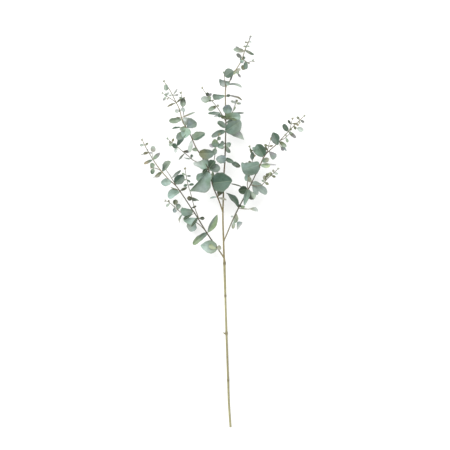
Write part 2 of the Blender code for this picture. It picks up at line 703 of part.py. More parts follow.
def make_cane(base):
    """The bare lower stem, swollen at its old leaf joints, with one dormant bud."""
    fine = smooth_path(CANE_ROUTE, 1)
    ends = [fine[0].y, fine[-1].y]
    places = [p.y for p in smooth_path(CANE_ROUTE, CANE_STEP)]
    places = [p for p in places if all(abs(p - y) > length for y, length, _ in CANE_JOINTS)]
    places += [y + length * share for y, length, _ in CANE_JOINTS for share in SWELLING_RINGS]
    places = sorted({y for y in places if y < ends[1] - 1} | set(ends))
    path = [min(fine, key=lambda p: abs(p.y - place)) for place in places]
    radii = []
    for centre in path:
        shares = [(1 - (2 * (centre.y - y) / length) ** 2, added) for y, length, added in CANE_JOINTS]
        radii.append(CANE_RADIUS + max(max(0, share) * added for share, added in shares))
    bark = material("cane_bark", CANE_BARK, BARK_ROUGHNESS)
    cane = stem_object("cane", path, radii, CANE_SIDES, bark)

    heading = Vector(CANE_BUD["direction"]).normalized()
    foot = Vector(CANE_BUD["at"])
    bud_path = [foot + heading * CANE_BUD["length"] * share for share, _ in BUD_OUTLINE]
    bud_radii = [CANE_BUD["radius"] * share for _, share in BUD_OUTLINE]
    bud = stem_object("bud", bud_path, bud_radii, STEM_SIDES, bark)
    grow_together(cane, [bud])
    finish_object(cane, path[0], base, Vector())
    return cane, path, radii


def make_stem(name, stem, parents, draw):
    """One leafy stem, seated on its parent with its leaves grown in."""
    parent, parent_path, parent_radii, parent_origin = parents[stem["on"]]
    is_twig = name.startswith("twig")
    path = smooth_path(stem["route"], TWIG_STEP if is_twig else STEM_STEP)
    along = distances(path)
    first, last = stem["radius"]
    radii = [first + (last - first) * s / along[-1] for s in along]
    if stem["on"] == "cane":
        outward = tangents(parent_path)[-1]
        seat = parent_path[-1] + outward * SEAT_GAP
    else:
        heading = tangents(path)[0]
        at, radius, axis = stem_at(parent_path, parent_radii, path[0].x, path[0].y)
        outward = (heading - heading.dot(axis) * axis).normalized()
        seat = at + outward * (radius + SEAT_GAP)
    sides = TWIG_SIDES if is_twig else STEM_SIDES
    wood = material("twig_wood", WOOD, WOOD_ROUGHNESS)
    made = stem_object(name, path, radii, sides, wood, (seat, outward))
    blades = []
    for number, (x, y, blade) in enumerate(stem["leaves"] + tip_leaves(path, draw)):
        at, radius, _ = stem_at(path, radii, x, y)
        blades.append(leaf_object(f"{name}_leaf_{number}", at, radius, blade))
    grow_together(made, blades)
    finish_object(made, path[0], parent, parent_origin)
    return made, path, radii, path[0]


def put_origin_below(base, objects):
    """Moves the whole branch so that the origin is on the surface under the middle of its box."""
    bpy.context.view_layer.update()
    corners = [o.matrix_world @ v.co for o in objects for v in o.data.vertices]
    xs, ys = [c.x for c in corners], [c.y for c in corners]
    base.location = (-(min(xs) + max(xs)) / 2, -(min(ys) + max(ys)) / 2, 0)


for old in list(bpy.data.objects):
    bpy.data.objects.remove(old, do_unlink=True)

whole = bpy.data.objects.new("eucalyptus_branch", None)
bpy.context.scene.collection.objects.link(whole)
cane_object, cane_path, cane_radii = make_cane(whole)
grown = {"cane": (cane_object, cane_path, cane_radii, cane_path[0])}
draw_tips = random.Random(SEED)
for stem_name, stem_sizes in STEMS.items():
    grown[stem_name] = make_stem(stem_name, stem_sizes, grown, draw_tips)
put_origin_below(whole, [entry[0] for entry in grown.values()])
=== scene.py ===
"""A cut eucalyptus branch lies on a pale surface and is seen from straight above, with its tips away."""

import math
import random

import bpy
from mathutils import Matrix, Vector


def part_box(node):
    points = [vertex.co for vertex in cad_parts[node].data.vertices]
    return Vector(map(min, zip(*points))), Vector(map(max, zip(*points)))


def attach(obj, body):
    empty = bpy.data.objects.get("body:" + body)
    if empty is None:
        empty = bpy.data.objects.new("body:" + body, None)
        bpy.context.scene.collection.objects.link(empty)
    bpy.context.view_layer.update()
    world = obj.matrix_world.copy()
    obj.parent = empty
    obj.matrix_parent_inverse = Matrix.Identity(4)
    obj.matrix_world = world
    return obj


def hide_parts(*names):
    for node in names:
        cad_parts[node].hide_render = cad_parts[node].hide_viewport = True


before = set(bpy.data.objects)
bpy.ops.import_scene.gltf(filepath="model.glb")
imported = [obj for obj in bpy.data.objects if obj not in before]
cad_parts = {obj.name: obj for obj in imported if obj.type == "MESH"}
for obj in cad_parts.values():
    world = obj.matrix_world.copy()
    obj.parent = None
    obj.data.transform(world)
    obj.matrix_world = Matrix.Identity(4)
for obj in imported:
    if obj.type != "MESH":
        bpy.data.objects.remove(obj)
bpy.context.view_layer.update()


# Where the branch lies, and the camera
# All places are in millimetres on the surface: x to the right, y from the cut end towards the tips,
# z up. The cut end of the cane says where that is in the frame. The camera looks straight down.
MM = 0.001
# The middle of the cut end, and how far the cane reaches past it to the right and, by its slant, back.
CUT_END_X = 15.0
CANE_HALF_WIDTH = 2.49
CUT_END_SLANT = 0.18
cane_low, cane_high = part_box("cane")
table_origin = Vector(
    (cane_high.x - (CUT_END_X + CANE_HALF_WIDTH) * MM, cane_low.y + CUT_END_SLANT * MM, 0)
)

# The picture's middle and its width, at the foliage's middle height, through a long lens.
PICTURE_MIDDLE = (1.25, 507.5)
PICTURE_WIDTH = 1125.0
MIDDLE_HEIGHT = 30.0
LENS = 180.0
SENSOR = 36.0


def on_table(x, y, z):
    return table_origin + Vector((x, y, z)) * MM


def put(name, data):
    """An object in the scene."""
    made = bpy.data.objects.new(name, data)
    bpy.context.scene.collection.objects.link(made)
    return made


camera_data = bpy.data.cameras.new("camera")
camera_data.lens = LENS
camera_data.sensor_width = SENSOR
camera_data.clip_end = 100
camera = put("camera", camera_data)
camera.location = on_table(*PICTURE_MIDDLE, PICTURE_WIDTH * LENS / SENSOR + MIDDLE_HEIGHT)
bpy.context.scene.camera = camera


# The bare cane
# The lower stem that the branch was cut by: two-year-old wood under thin smooth bark, with swollen
# joints where leaves have dropped, one dormant bud, and a clean slanted cut through pale wood and pith.
CANE_ROUTE = [
    (15, 0, 2.4), (11, 60, 2.4), (9, 118, 4), (5, 232, 9), (2, 330, 15), (0, 400, 21), (0, 415, 22.5)
]
CANE_RADIUS = 2.6
# It thickens by this much toward the fork, from the first place to the second along it.
CANE_SWELLING = 0.45
CANE_SWELLS = (322, 360)
CANE_SIDES = 24
CANE_STEP = 1.5
# Where the cane swells at an old leaf joint: y, length of the swelling, added radius.
CANE_JOINTS = [(118, 9, 0.4), (236, 11, 0.9), (330, 9, 0.4), (412, 12, 0.7)]
# A faint ring of bark marks each joint: how far it stands out, and how wide it is.
SCAR_HEIGHT = 0.14
SCAR_WIDTH = 0.5
CANE_BUD = {"at": (3.0, 234, 9), "direction": (-1, 0.55, 0.15), "length": 8.2, "radius": 1.7}
BUD_STEPS = 14
BUD_SIDES = 16
# The bud's scales: how many show along it, how far each one's edge stands out, and how blunt it ends.
BUD_SCALES = 4
SCALE_EDGE = 0.1
BUD_BLUNTNESS = 2.2
BUD_TIP = 0.05
# Rings of points on the cut, in shares of its radius. Its pith reaches out to this share and then fades
# into wood.
CUT_RINGS = (1.0, 0.93, 0.86, 0.5, 0.24, 0.12)
PITH_SHARE = 0.15
CANE_BARK = "#837d5a"
CANE_BARK_DARK = "#5e543b"
CANE_BARK_LIGHT = "#928e69"
# Lighter bark comes and goes along the cane in a slow wave. A joint keeps this share of it.
TONE_WAVE = 0.021
TONE_START = 1.3
JOINT_TONE = 0.35
CORK_PORE = "#4b3c30"
CUT_WOOD = "#c9b68c"
CUT_PITH = "#8d7a55"
# Marks in bark and cut wood, in millimetres: patches of one tone, the space between cork pores across
# and along the stem, the depth of the streaks, and the pores of the cut. A streak is so many times
# longer than wide, and a cork pore darkens the bark by this share.
BARK_PATCH = 11.0
CORK_PORE_SPACING = (1.8, 1.8, 1.25)
STREAK_DEPTH = 0.25
CUT_PORE = 0.45
STREAK_STRETCH = 14.0
CORK_PORE_SHARE = 0.55
# What most of a noise pattern lies between.
NOISE_MIDDLE = {"From Min": 0.3, "From Max": 0.7}
# No point lies nearer to the surface than this, and edges sharper than so many degrees stay crisp.
FLOOR_GAP = 0.05
CANE_CREASE = 50


def smooth_path(route, spacing):
    """Points about one spacing apart on the smooth curve through a route."""
    points = [Vector(p) for p in route]
    points = [2 * points[0] - points[1]] + points + [2 * points[-1] - points[-2]]
    path = []
    for p0, p1, p2, p3 in zip(points, points[1:], points[2:], points[3:]):
        steps = max(1, round((p2 - p1).length / spacing))
        for i in range(steps):
            t = i / steps
            bend = (2 * p0 - 5 * p1 + 4 * p2 - p3) * t * t + (3 * p1 - p0 - 3 * p2 + p3) * t**3
            path.append(0.5 * (2 * p1 + (p2 - p0) * t + bend))
    path.append(points[-2])
    return path


def distances(path):
    along = [0.0]
    for start, end in zip(path, path[1:]):
        along.append(along[-1] + (end - start).length)
    return along


def tangents(path):
    last = len(path) - 1
    return [(path[min(i + 1, last)] - path[max(i - 1, 0)]).normalized() for i in range(last + 1)]


class Growth:
    """Points, faces and what the shader reads at each point, gathered into one mesh."""

    def __init__(self):
        self.points = []
        self.faces = []
        self.kinds = []
        self.places = []
        self.tints = []

    def point(self, at, place, tint):
        self.points.append(at)
        self.places.append(place)
        self.tints.append(tint)
        return len(self.points) - 1

    def face(self, corners, kind=0):
        self.faces.append(tuple(corners))
        self.kinds.append(kind)

    def piece(self, name, surfaces, sharp):
        """One object of the frame, with its place in its mesh."""
        mesh = bpy.data.meshes.new(name)
        points = [on_table(p.x, p.y, max(p.z, FLOOR_GAP)) for p in self.points]
        mesh.from_pydata(points, [], self.faces)
        for surface in surfaces:
            mesh.materials.append(surface)
        mesh.polygons.foreach_set("material_index", self.kinds)
        place = mesh.attributes.new("place", "FLOAT_VECTOR", "POINT")
        place.data.foreach_set("vector", [c for p in self.places for c in p])
        tint = mesh.attributes.new("tint", "FLOAT_COLOR", "POINT")
        tint.data.foreach_set("color", [c for t in self.tints for c in (*t, 1.0)])
        mesh.validate()
        mesh.shade_smooth()
        mesh.set_sharp_from_angle(angle=math.radians(sharp))
        made = put(name, mesh)
        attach(made, "root")
        return made


def grow_ring(growth, centre, heading, radius, s, tint, sides):
    """Points round a stem's axis. A point's place is its offset from the axis and how far along it is."""
    level = Vector((0, 0, 1)).cross(heading).normalized()
    up = heading.cross(level)
    ring = []
    for i in range(sides):
        turn = 2 * math.pi * i / sides
        x, y = radius * math.cos(turn), radius * math.sin(turn)
        ring.append(growth.point(centre + level * x + up * y, (x, y, s), tint))
    return ring


def grow_tube(growth, path, radii, sides, tints, closed_start=True):
    """A round stem through a path, closed at its end."""
    rings = [
        grow_ring(growth, *station, sides)
        for station in zip(path, tangents(path), radii, distances(path), tints)
    ]
    for near, far in zip(rings, rings[1:]):
        for i in range(sides):
            j = (i + 1) % sides
            growth.face((near[i], near[j], far[j], far[i]))
    if closed_start:
        growth.face(reversed(rings[0]))
    growth.face(rings[-1])


def linear(code):
    """A colour for the shaders from its #rrggbb code."""
    channels = [int(code[i : i + 2], 16) / 255 for i in (1, 3, 5)]
    return [c / 12.92 if c <= 0.04045 else ((c + 0.055) / 1.055) ** 2.4 for c in channels]


def add(tree, kind, sockets=None, **settings):
    """A shader node with its settings. Its sockets take values, outputs, or nodes by their first output."""
    made = tree.nodes.new("ShaderNode" + kind)
    for name, value in settings.items():
        setattr(made, name, value)
    for name, value in (sockets or {}).items():
        if isinstance(value, bpy.types.Node):
            value = value.outputs[0]
        if isinstance(value, bpy.types.NodeSocket):
            tree.links.new(value, made.inputs[name])
        else:
            made.inputs[name].default_value = value
    return made


def new_material(name):
    """An empty material: its tree and its Principled shader."""
    made = bpy.data.materials.new(name)
    made.use_nodes = True
    return made, made.node_tree, made.node_tree.nodes["Principled BSDF"]


def bark_material(name, roughness, contrast, grain):
    """Smooth bark: streaks that run along the stem, small dark cork pores and a little dust.

    Bark is matte with a slight sheen where it is worn smooth. grain is the streaks' width in mm, drawn
    coarser than real ones so that they show.
    """
    made, tree, shader = new_material(name)
    tint = add(tree, "Attribute", attribute_name="tint")
    place = add(tree, "Attribute", attribute_name="place").outputs["Vector"]
    streak_scale = (1 / grain, 1 / grain, 1 / (STREAK_STRETCH * grain))
    stretched = add(tree, "Mapping", {"Vector": place, "Scale": streak_scale})
    streaks = add(tree, "TexNoise", {"Vector": stretched, "Scale": 1.0, "Detail": 5.0})
    streak_shade = add(
        tree,
        "MapRange",
        {"Value": streaks, **NOISE_MIDDLE, "To Min": 1 - contrast, "To Max": 1 + 0.6 * contrast},
    )
    patches = add(
        tree, "TexNoise", {"Vector": place, "Scale": 1 / BARK_PATCH, "Detail": 3.0, "Roughness": 0.6}
    )
    patch_shade = add(tree, "MapRange", {"Value": patches, **NOISE_MIDDLE, "To Min": 0.84, "To Max": 1.14})
    shade = add(tree, "Math", {0: streak_shade, 1: patch_shade}, operation="MULTIPLY")
    streaked = add(tree, "VectorMath", {0: tint, "Scale": shade}, operation="SCALE")
    pore_scale = [1 / gap for gap in CORK_PORE_SPACING]
    pore_space = add(tree, "Mapping", {"Vector": place, "Scale": pore_scale})
    pores = add(tree, "TexVoronoi", {"Vector": pore_space, "Scale": 1.0})
    pore = add(
        tree,
        "MapRange",
        {"Value": pores, "From Min": 0.1, "From Max": 0.2, "To Min": CORK_PORE_SHARE, "To Max": 0.0},
    )
    pore_colour = (*linear(CORK_PORE), 1)
    pored = add(tree, "Mix", {0: pore, 6: streaked, 7: pore_colour}, data_type="RGBA").outputs[2]
    tree.links.new(pored, shader.inputs["Base Color"])
    rough = add(
        tree,
        "MapRange",
        {"Value": streaks, **NOISE_MIDDLE, "To Min": roughness - 0.08, "To Max": roughness + 0.08},
    )
    tree.links.new(rough.outputs[0], shader.inputs["Roughness"])
    relief = add(tree, "Bump", {"Height": streaks, "Strength": 0.35, "Distance": STREAK_DEPTH * MM})
    tree.links.new(relief.outputs[0], shader.inputs["Normal"])
    shader.inputs["IOR"].default_value = 1.45
    return made


def cut_material():
    """Freshly cut wood: pale and dry, darker pith in the middle, rough from the blade."""
    made, tree, shader = new_material("cut_eucalyptus_wood")
    tint = add(tree, "Attribute", attribute_name="tint")
    place = add(tree, "Attribute", attribute_name="place").outputs["Vector"]
    pores = add(tree, "TexNoise", {"Vector": place, "Scale": 1 / CUT_PORE, "Detail": 4.0})
    shade = add(tree, "MapRange", {"Value": pores, **NOISE_MIDDLE, "To Min": 0.8, "To Max": 1.15})
    coloured = add(tree, "VectorMath", {0: tint, "Scale": shade}, operation="SCALE")
    tree.links.new(coloured.outputs[0], shader.inputs["Base Color"])
    shader.inputs["Roughness"].default_value = 0.85
    return made


def mixed(first, second, share):
    return [a + (b - a) * share for a, b in zip(first, second)]


def eased(share):
    """A share from 0 to 1 that starts and ends gently."""
    return share * share * (3 - 2 * share)


def cane_radius(y):
    start, end = CANE_SWELLS
    radius = CANE_RADIUS + CANE_SWELLING * min(1.0, max(0.0, (y - start) / (end - start)))
    for joint, length, added in CANE_JOINTS:
        radius += added * eased(max(0.0, 1 - (2 * (y - joint) / length) ** 2))
        radius += SCAR_HEIGHT * math.exp(-(((y - joint) / SCAR_WIDTH) ** 2))
    return radius


cane_path = smooth_path(CANE_ROUTE, CANE_STEP)
cane_radii = [cane_radius(p.y) for p in cane_path]
cane_tints = []
for p in cane_path:
    nearest = min(abs(p.y - joint) / length for joint, length, _ in CANE_JOINTS)
    light = 0.5 + 0.5 * math.sin(p.y * TONE_WAVE + TONE_START)
    worn = mixed(linear(CANE_BARK), linear(CANE_BARK_LIGHT), light)
    cane_tints.append(mixed(linear(CANE_BARK_DARK), worn, min(1.0, JOINT_TONE + nearest)))

cane_bark = bark_material("smooth_eucalyptus_bark", roughness=0.66, contrast=0.3, grain=0.9)
cane = Growth()
grow_tube(cane, cane_path, cane_radii, CANE_SIDES, cane_tints, closed_start=False)
outer = None
for share in CUT_RINGS:
    colour = mixed(linear(CUT_PITH), linear(CUT_WOOD), min(1.0, max(0.0, share / PITH_SHARE - 1)))
    if share > CUT_RINGS[1]:
        colour = linear(CANE_BARK_DARK)
    ring = grow_ring(
        cane, cane_path[0], tangents(cane_path)[0], cane_radii[0] * share, 0, colour, CANE_SIDES
    )
    if outer:
        for i in range(CANE_SIDES):
            j = (i + 1) % CANE_SIDES
            cane.face((outer[j], outer[i], ring[i], ring[j]), 1)
    outer = ring
cane.face(reversed(outer), 1)

bud_heading = Vector(CANE_BUD["direction"]).normalized()
bud_path = []
bud_radii = []
bud_tints = []
for i in range(BUD_STEPS + 1):
    t = i / BUD_STEPS
    bud_path.append(Vector(CANE_BUD["at"]) + bud_heading * CANE_BUD["length"] * t)
    past_scale = t * BUD_SCALES % 1
    plump = math.sqrt(1 - t**BUD_BLUNTNESS) * (1 + SCALE_EDGE * (1 - past_scale))
    bud_radii.append(CANE_BUD["radius"] * plump + BUD_TIP)
    bud_tints.append(mixed(linear(CANE_BARK_LIGHT), linear(CANE_BARK_DARK), past_scale))
grow_tube(cane, bud_path, bud_radii, BUD_SIDES, bud_tints)
cane_piece = cane.piece("cane_wood", [cane_bark, cut_material()], CANE_CREASE)
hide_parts("cane")


# How a leafy stem grows
# A leader, a side branch or a twig: young wood under thin tan to brown bark, swollen a little at each
# leaf, with thick waxy leaves on short stalks and a pair of new leaves that opens at its tip.
STEM_STEP = 2.5
STEM_SIDES = 12
# A stem is thicker by these shares where it leaves its parent and at each leaf, over these lengths.
COLLAR = 0.35
COLLAR_LENGTH = 4.0
NODE_SWELLING = 0.2
NODE_LENGTH = 1.7
WOOD_TINTS = {
    "tan": "#7f7450",
    "brown": "#5b4f38",
    "dark": "#454231",
    "grey": "#696858",
    "dusty": "#847c64",
}
# A stem's end is narrowed to this share under its new leaves. Sharper edges than this stay crisp.
TIP_NARROWING = 0.5
CREASE = 60

# A blade's half width follows sin(pi * t ** lean) ** fullness from its foot, t = 0, to its tip, t = 1.
FORMS = {
    "round": (1.05, 0.5),
    "paddle": (1.25, 0.56),
    "fan": (1.75, 0.6),
    "oval": (0.95, 0.6),
    "long": (1.0, 0.8),
    "heart": (0.8, 0.55),
    "strap": (1.1, 0.36),
}
# How far one edge stands out against its form's, at even steps from foot to tip, where a blade grew or
# turned unevenly.
EDGES = {
    "even": (1, 1, 1, 1, 1),
    "tapered": (1.3, 1.1, 1, 0.8, 0.5),
    "shouldered": (1.8, 1.2, 1, 0.8, 0.8),
    "drooped": (2, 1.6, 1.1, 0.5, 0.3),
    "full": (1.4, 1.8, 2, 1.6, 0.8),
    "bellied": (1.4, 1, 1.4, 1.7, 0.4),
    "flared": (0.6, 0.9, 1.2, 1.4, 1.4),
    "blunt": (1.5, 1.3, 1.3, 1.4, 1.5),
    "waisted": (0.9, 0.6, 0.7, 0.9, 1.6),
    "hollow": (1.5, 0.8, 0.6, 0.7, 1),
}
# A blade is at least this share of its length wide. One that looks narrower is turned on its edge.
LEAST_FULLNESS = 0.55
# Rows of points along a blade and, in shares of its length, on its stalk.
ROW_SPACING = 1.9
FEWEST_ROWS = 9
MOST_ROWS = 26
STALK_ROWS = (0.1, 0.55, 0.85)
# Columns of points across a blade, in shares of its half width, on one side of the midrib's own three.
WIDE_COLUMNS = (0.4, 0.68, 0.88, 1.0)
NARROW_COLUMNS = (0.6, 1.0)
NARROW_LEAF = 9.0
MIDRIB_FLANK = 0.7
MOST_FLANK = 0.3
# The blade opens over this first share of its length.
BLADE_START = 1 / 12
# Cross sections of stalk and blade: the stalk lies half below the blade's middle, the midrib mostly
# below it, under a groove, and the rim is thinner than the rest.
STALK_HALF_WIDTH = 0.6
STALK_HEIGHT = 1.05
STALK_TAPER = 3
TIP_HALF_WIDTH = 0.12
BLADE_THICKNESS = 0.5
STALK_BELOW = 0.5
MIDRIB_BELOW = 0.8
MIDRIB_TAPER = 1.5
GROOVE = 0.12
RIM_SHARE = 0.45
RIM_POWER = 4
# A blade is hollow by this share of its half width, folded up along its midrib by so many degrees, and
# twisted by up to so many toward its tip.
CUP = 0.16
CUP_POWER = 1.5
FOLD = (-4.0, 20.0)
TWIST = 18.0
# A blade's waves: how high in shares of its half width, and how many along it.
WAVE = (0.052, 0.13)
WAVES = (0.9, 2.0)
# An edge is uneven by this share, in two waves: how many of each along it, and how strong.
RAGGED = (0.02, 0.075)
LOBES = ((1.2, 1.0), (2.9, 0.6))
# Surface colours, from the waxiest grey-blue of full leaves to the brown-green of the oldest ones.
# The darkest ones are partly painted shade, for leaves that lie under others.
TINTS = {
    "teal": "#74877e",
    "mint": "#869a91",
    "pale": "#91a29a",
    "haze": "#a1a8a4",
    "blue": "#717d80",
    "grey": "#6c7871",
    "sage": "#7f8b7d",
    "green": "#76866a",
    "lime": "#959e80",
    "olive": "#575b42",
    "dark": "#475b4f",
    "deep": "#304032",
    "purple": "#6e6c70",
    "dusty": "#8d8b80",
    "tan": "#857a62",
    "slate": "#4f5f55",
    "pine": "#3f564b",
    "ink": "#30372d",
    "bronze": "#58533f",
    "lilac": "#a5a2a7",
}
# How fast one tint gives way to the other from the left half to the right, or from the foot to the
# tip, and how late it starts there: these two-tone blades are partly the leaf's own colour and partly
# painted light and shade of its folds and curls. The stalk keeps the wood's colour up to this share
# of it, and hands it on over this share of the blade.
HALVES_BLEND = 1.6
TIP_BLEND = 1.5
TIP_BLEND_DELAY = 0.25
STALK_BROWN = 0.6
BLADE_BROWN = 0.04
LEAF_VEIN = "#98a488"
# The colour that a blade darkens towards at its rim.
DARKER_RIM = "#62645a"
# Marks on a leaf, in millimetres: the space between side veins and how far they wander, over which
# length, the midrib's half width where it fades out, patches of bloom and of worn bloom, the grain of
# the wax and the depth of the veins. A vein runs forward by this much for each millimetre outward.
VEIN_SPACING = 3.0
VEIN_WANDER = 2.2
VEIN_WANDER_LENGTH = 6.25
VEIN_SLANT = 0.6
MIDRIB_FADE = (0.25, 0.75)
BLOOM_PATCH = 8.3
WORN_PATCH = 26.0
WAX_GRAIN = 1.1
VEIN_DEPTH = 0.12
# The vein that follows the edge, as a share of the way out to it, and how strongly veins show.
EDGE_VEIN = 0.86
VEIN_SHARE = 0.3
# A leaf's red, green and blue are multiplied by these where the bloom is worn and where it is whole.
WORN_TONE = (0.74, 0.82, 0.7)
BLOOM_TONE = (1.14, 1.13, 1.16)
# The underside has this share of its own colour, and leaves differ by up to this share in brightness.
UNDERSIDE = "#8c998f"
UNDERSIDE_SHARE = 0.35
SHADE_SPREAD = 0.08
# The new leaves at a tip: their length and how far it varies, their width as a share of it, how far
# they stand apart and how far they lean, in degrees.
TIP_LEAF = 8.0
TIP_LEAF_SPREAD = 0.15
TIP_LEAF_WIDTH = 0.36
TIP_LEAF_STALK = 0.8
TIP_TURN = 17.0
TIP_LEAN = 25.0
TIP_TINTS = ("dusty", "sage", "tan")
TIP_SEED = 11


def leaf(
    x,
    y,
    direction,
    length,
    width,
    tint,
    lean=8,
    side=1,
    curl=14,
    form="paddle",
    blade=None,
    stalk=0.4,
    lift=0,
    sweep=0,
    edges=((1, "even"), (1, "even")),
):
    """One blade as seen from above: where it grows, where it points, how long and wide it looks.

    lean lifts its tip, side says which edge rises where it looks narrower than it is, curl bends it
    along its length, blade is its true width where the rule below doesn't give it. A tint of the
    kind "a/b" colours its left half a and its right half b, one of the kind "a>b" its foot a and
    its tip b; these two-tone blades are partly the leaf's own colour and partly painted light and
    shade of its folds and curls. A leaf that clasps the stem from above has its foot beyond the
    stem, by a stalk below zero, and lift above the stem's axis. sweep moves its tip to its left, in
    millimetres. edges names its left and its right edge, each after a share that makes that half
    wider or narrower.
    """
    true_width = blade or max(width, LEAST_FULLNESS * length)
    return {
        "place": Vector((x, y)),
        "direction": math.radians(direction),
        "length": length / math.cos(math.radians(lean)),
        "width": true_width,
        "lean": math.radians(lean),
        "roll": side * math.acos(min(1.0, width / true_width)),
        "curl": math.radians(curl),
        "form": form,
        "stalk": stalk,
        "tint": tint,
        "lift": lift,
        "sweep": sweep,
        "edges": edges,
    }


def strap(x, y, direction, length, width, tint, lean=8, **more):
    """A leaf with nearly straight sides and blunt ends that shows its full width."""
    return leaf(x, y, direction, length, width, tint, lean, form="strap", blade=width, **more)


def leaf_frame(blade, s):
    """Where a blade's midrib is after s millimetres from the axis, and its across and face directions."""
    flat = Vector((math.cos(blade["direction"]), math.sin(blade["direction"]), 0))
    along = flat * math.cos(blade["lean"]) + Vector((0, 0, math.sin(blade["lean"])))
    level = Vector((0, 0, 1)).cross(along).normalized()
    raised = along.cross(level)
    across = level * math.cos(blade["roll"]) + raised * math.sin(blade["roll"])
    face = along.cross(across)
    bend = blade["curl"] * s / blade["length"]
    if bend == 0:
        return along * s, across, face
    reach = s / bend
    place = along * math.sin(bend) * reach + face * (1 - math.cos(bend)) * reach
    return place, across, face * math.cos(bend) - along * math.sin(bend)


def blade_outline(blade, t):
    lean, fullness = FORMS[blade["form"]]
    return 0.5 * blade["width"] * math.sin(math.pi * min(1.0, t) ** lean) ** fullness


def edge_share(blade, hand, t):
    """How far an edge stands out against the form's own at a place along the blade."""
    width_share, name = blade["edges"][0 if hand > 0 else 1]
    steps = EDGES[name]
    step = t * (len(steps) - 1)
    low = min(len(steps) - 2, int(step))
    return width_share * (steps[low] + (steps[low + 1] - steps[low]) * eased(step - low))


def leaf_colour_and_shade(name, u, t):
    """A blade's colour at a place on it: u across, from -1 on its right to 1 on its left, t along.

    Two-tone blades carry painted light and shade of their folds and curls as well as their own colour.
    """
    for mark, share in (("/", 0.5 - HALVES_BLEND * u), (">", TIP_BLEND * t - TIP_BLEND_DELAY)):
        if mark in name:
            first, second = name.split(mark)
            share = eased(min(1.0, max(0.0, share)))
            return mixed(linear(TINTS[first]), linear(TINTS[second]), share)
    return linear(TINTS[name])


def grow_leaf(growth, root, stem_radius, blade, stem_tint, draw):
    """A thick waxy blade, nearly without a stalk: folded a little, hollow, wavy and uneven at its edge."""
    root = root + Vector((0, 0, blade["lift"]))
    foot = stem_radius + blade["stalk"]
    reach = blade["length"] - foot
    rows = round(min(MOST_ROWS, max(FEWEST_ROWS, reach / ROW_SPACING)))
    stations = [foot * share for share in STALK_ROWS] if foot > 0 else []
    stations += [foot + reach * 0.5 * (1 - math.cos(math.pi * i / rows)) for i in range(rows + 1)]
    twist = math.radians(draw.uniform(-TWIST, TWIST))
    fold = math.tan(math.radians(draw.uniform(*FOLD)))
    wave = draw.uniform(*WAVE)
    waves = draw.uniform(*WAVES)
    wave_starts = {hand: draw.uniform(0, 2 * math.pi) for hand in (-1, 1)}
    ragged = draw.uniform(*RAGGED)
    lobe_starts = {hand: [draw.uniform(0, 2 * math.pi) for _ in LOBES] for hand in (-1, 1)}
    shade = draw.uniform(1 - SHADE_SPREAD, 1 + SHADE_SPREAD)
    columns = NARROW_COLUMNS if blade["width"] < NARROW_LEAF else WIDE_COLUMNS

    sheets = []
    for s in stations:
        t = max(0.0, (s - foot) / reach)
        place, across, face = leaf_frame(blade, s)
        place += across * blade["sweep"] * t * t
        turned = across * math.cos(twist * t) + face * math.sin(twist * t)
        face = face * math.cos(twist * t) - across * math.sin(twist * t)
        across = turned
        stalk = STALK_HALF_WIDTH * (1 - t) ** STALK_TAPER + TIP_HALF_WIDTH * t
        half = math.hypot(blade_outline(blade, t), stalk)
        flank = min(MOST_FLANK, MIDRIB_FLANK / half)
        shares = [-c for c in reversed(columns)] + [-flank, 0.0, flank] + list(columns)
        blade_share = min(1.0, t / BLADE_START)
        below_share = STALK_BELOW + (MIDRIB_BELOW - STALK_BELOW) * blade_share
        green = 1.0
        if foot > 0:
            fade = (1 - STALK_BROWN) * foot + BLADE_BROWN * reach
            green = min(1.0, max(0.0, (s - STALK_BROWN * foot) / fade))
        top_row = []
        bottom_row = []
        for u in shares:
            hand = 1 if u > 0 else -1
            uneven = 0.0
            for (count, strength), start in zip(LOBES, lobe_starts[hand]):
                uneven += strength * math.sin(2 * math.pi * count * t + start)
            x = u * half * edge_share(blade, hand, t) * (1 + ragged * uneven * blade_share)
            rise = (fold * abs(x) + CUP * half * abs(u) ** CUP_POWER) * blade_share
            waving = math.sin(2 * math.pi * waves * t + wave_starts[hand])
            rise += wave * half * u * u * waving * blade_share
            ridge = math.exp(-((x / STALK_HALF_WIDTH) ** 2))
            rib = ridge * (1 - t) ** MIDRIB_TAPER * (STALK_HEIGHT - BLADE_THICKNESS)
            thick = BLADE_THICKNESS * (1 - (1 - RIM_SHARE) * abs(u) ** RIM_POWER)
            above = thick / 2 + rib * (1 - blade_share) / 2 - GROOVE * ridge * blade_share * (1 - t)
            below = thick / 2 + rib * below_share
            middle = root + place + across * x + face * rise
            upper = [c * shade for c in leaf_colour_and_shade(blade["tint"], u, t)]
            under = mixed(upper, linear(UNDERSIDE), UNDERSIDE_SHARE)
            for row, offset, colour in ((top_row, above, upper), (bottom_row, -below, under)):
                shown = mixed(stem_tint, colour, green)
                row.append(growth.point(middle + face * offset, (x, s - foot, abs(u)), shown))
        sheets.append((top_row, bottom_row))
    for (near_top, near_bottom), (far_top, far_bottom) in zip(sheets, sheets[1:]):
        for i in range(len(near_top) - 1):
            growth.face((near_top[i + 1], near_top[i], far_top[i], far_top[i + 1]))
            growth.face((near_bottom[i], near_bottom[i + 1], far_bottom[i + 1], far_bottom[i]))
        growth.face((near_top[0], near_bottom[0], far_bottom[0], far_top[0]))
        growth.face((near_bottom[-1], near_top[-1], far_top[-1], far_bottom[-1]))
    for (top_row, bottom_row), turned in ((sheets[0], False), (sheets[-1], True)):
        for i in range(len(top_row) - 1):
            corners = (top_row[i], top_row[i + 1], bottom_row[i + 1], bottom_row[i])
            growth.face(reversed(corners) if turned else corners)


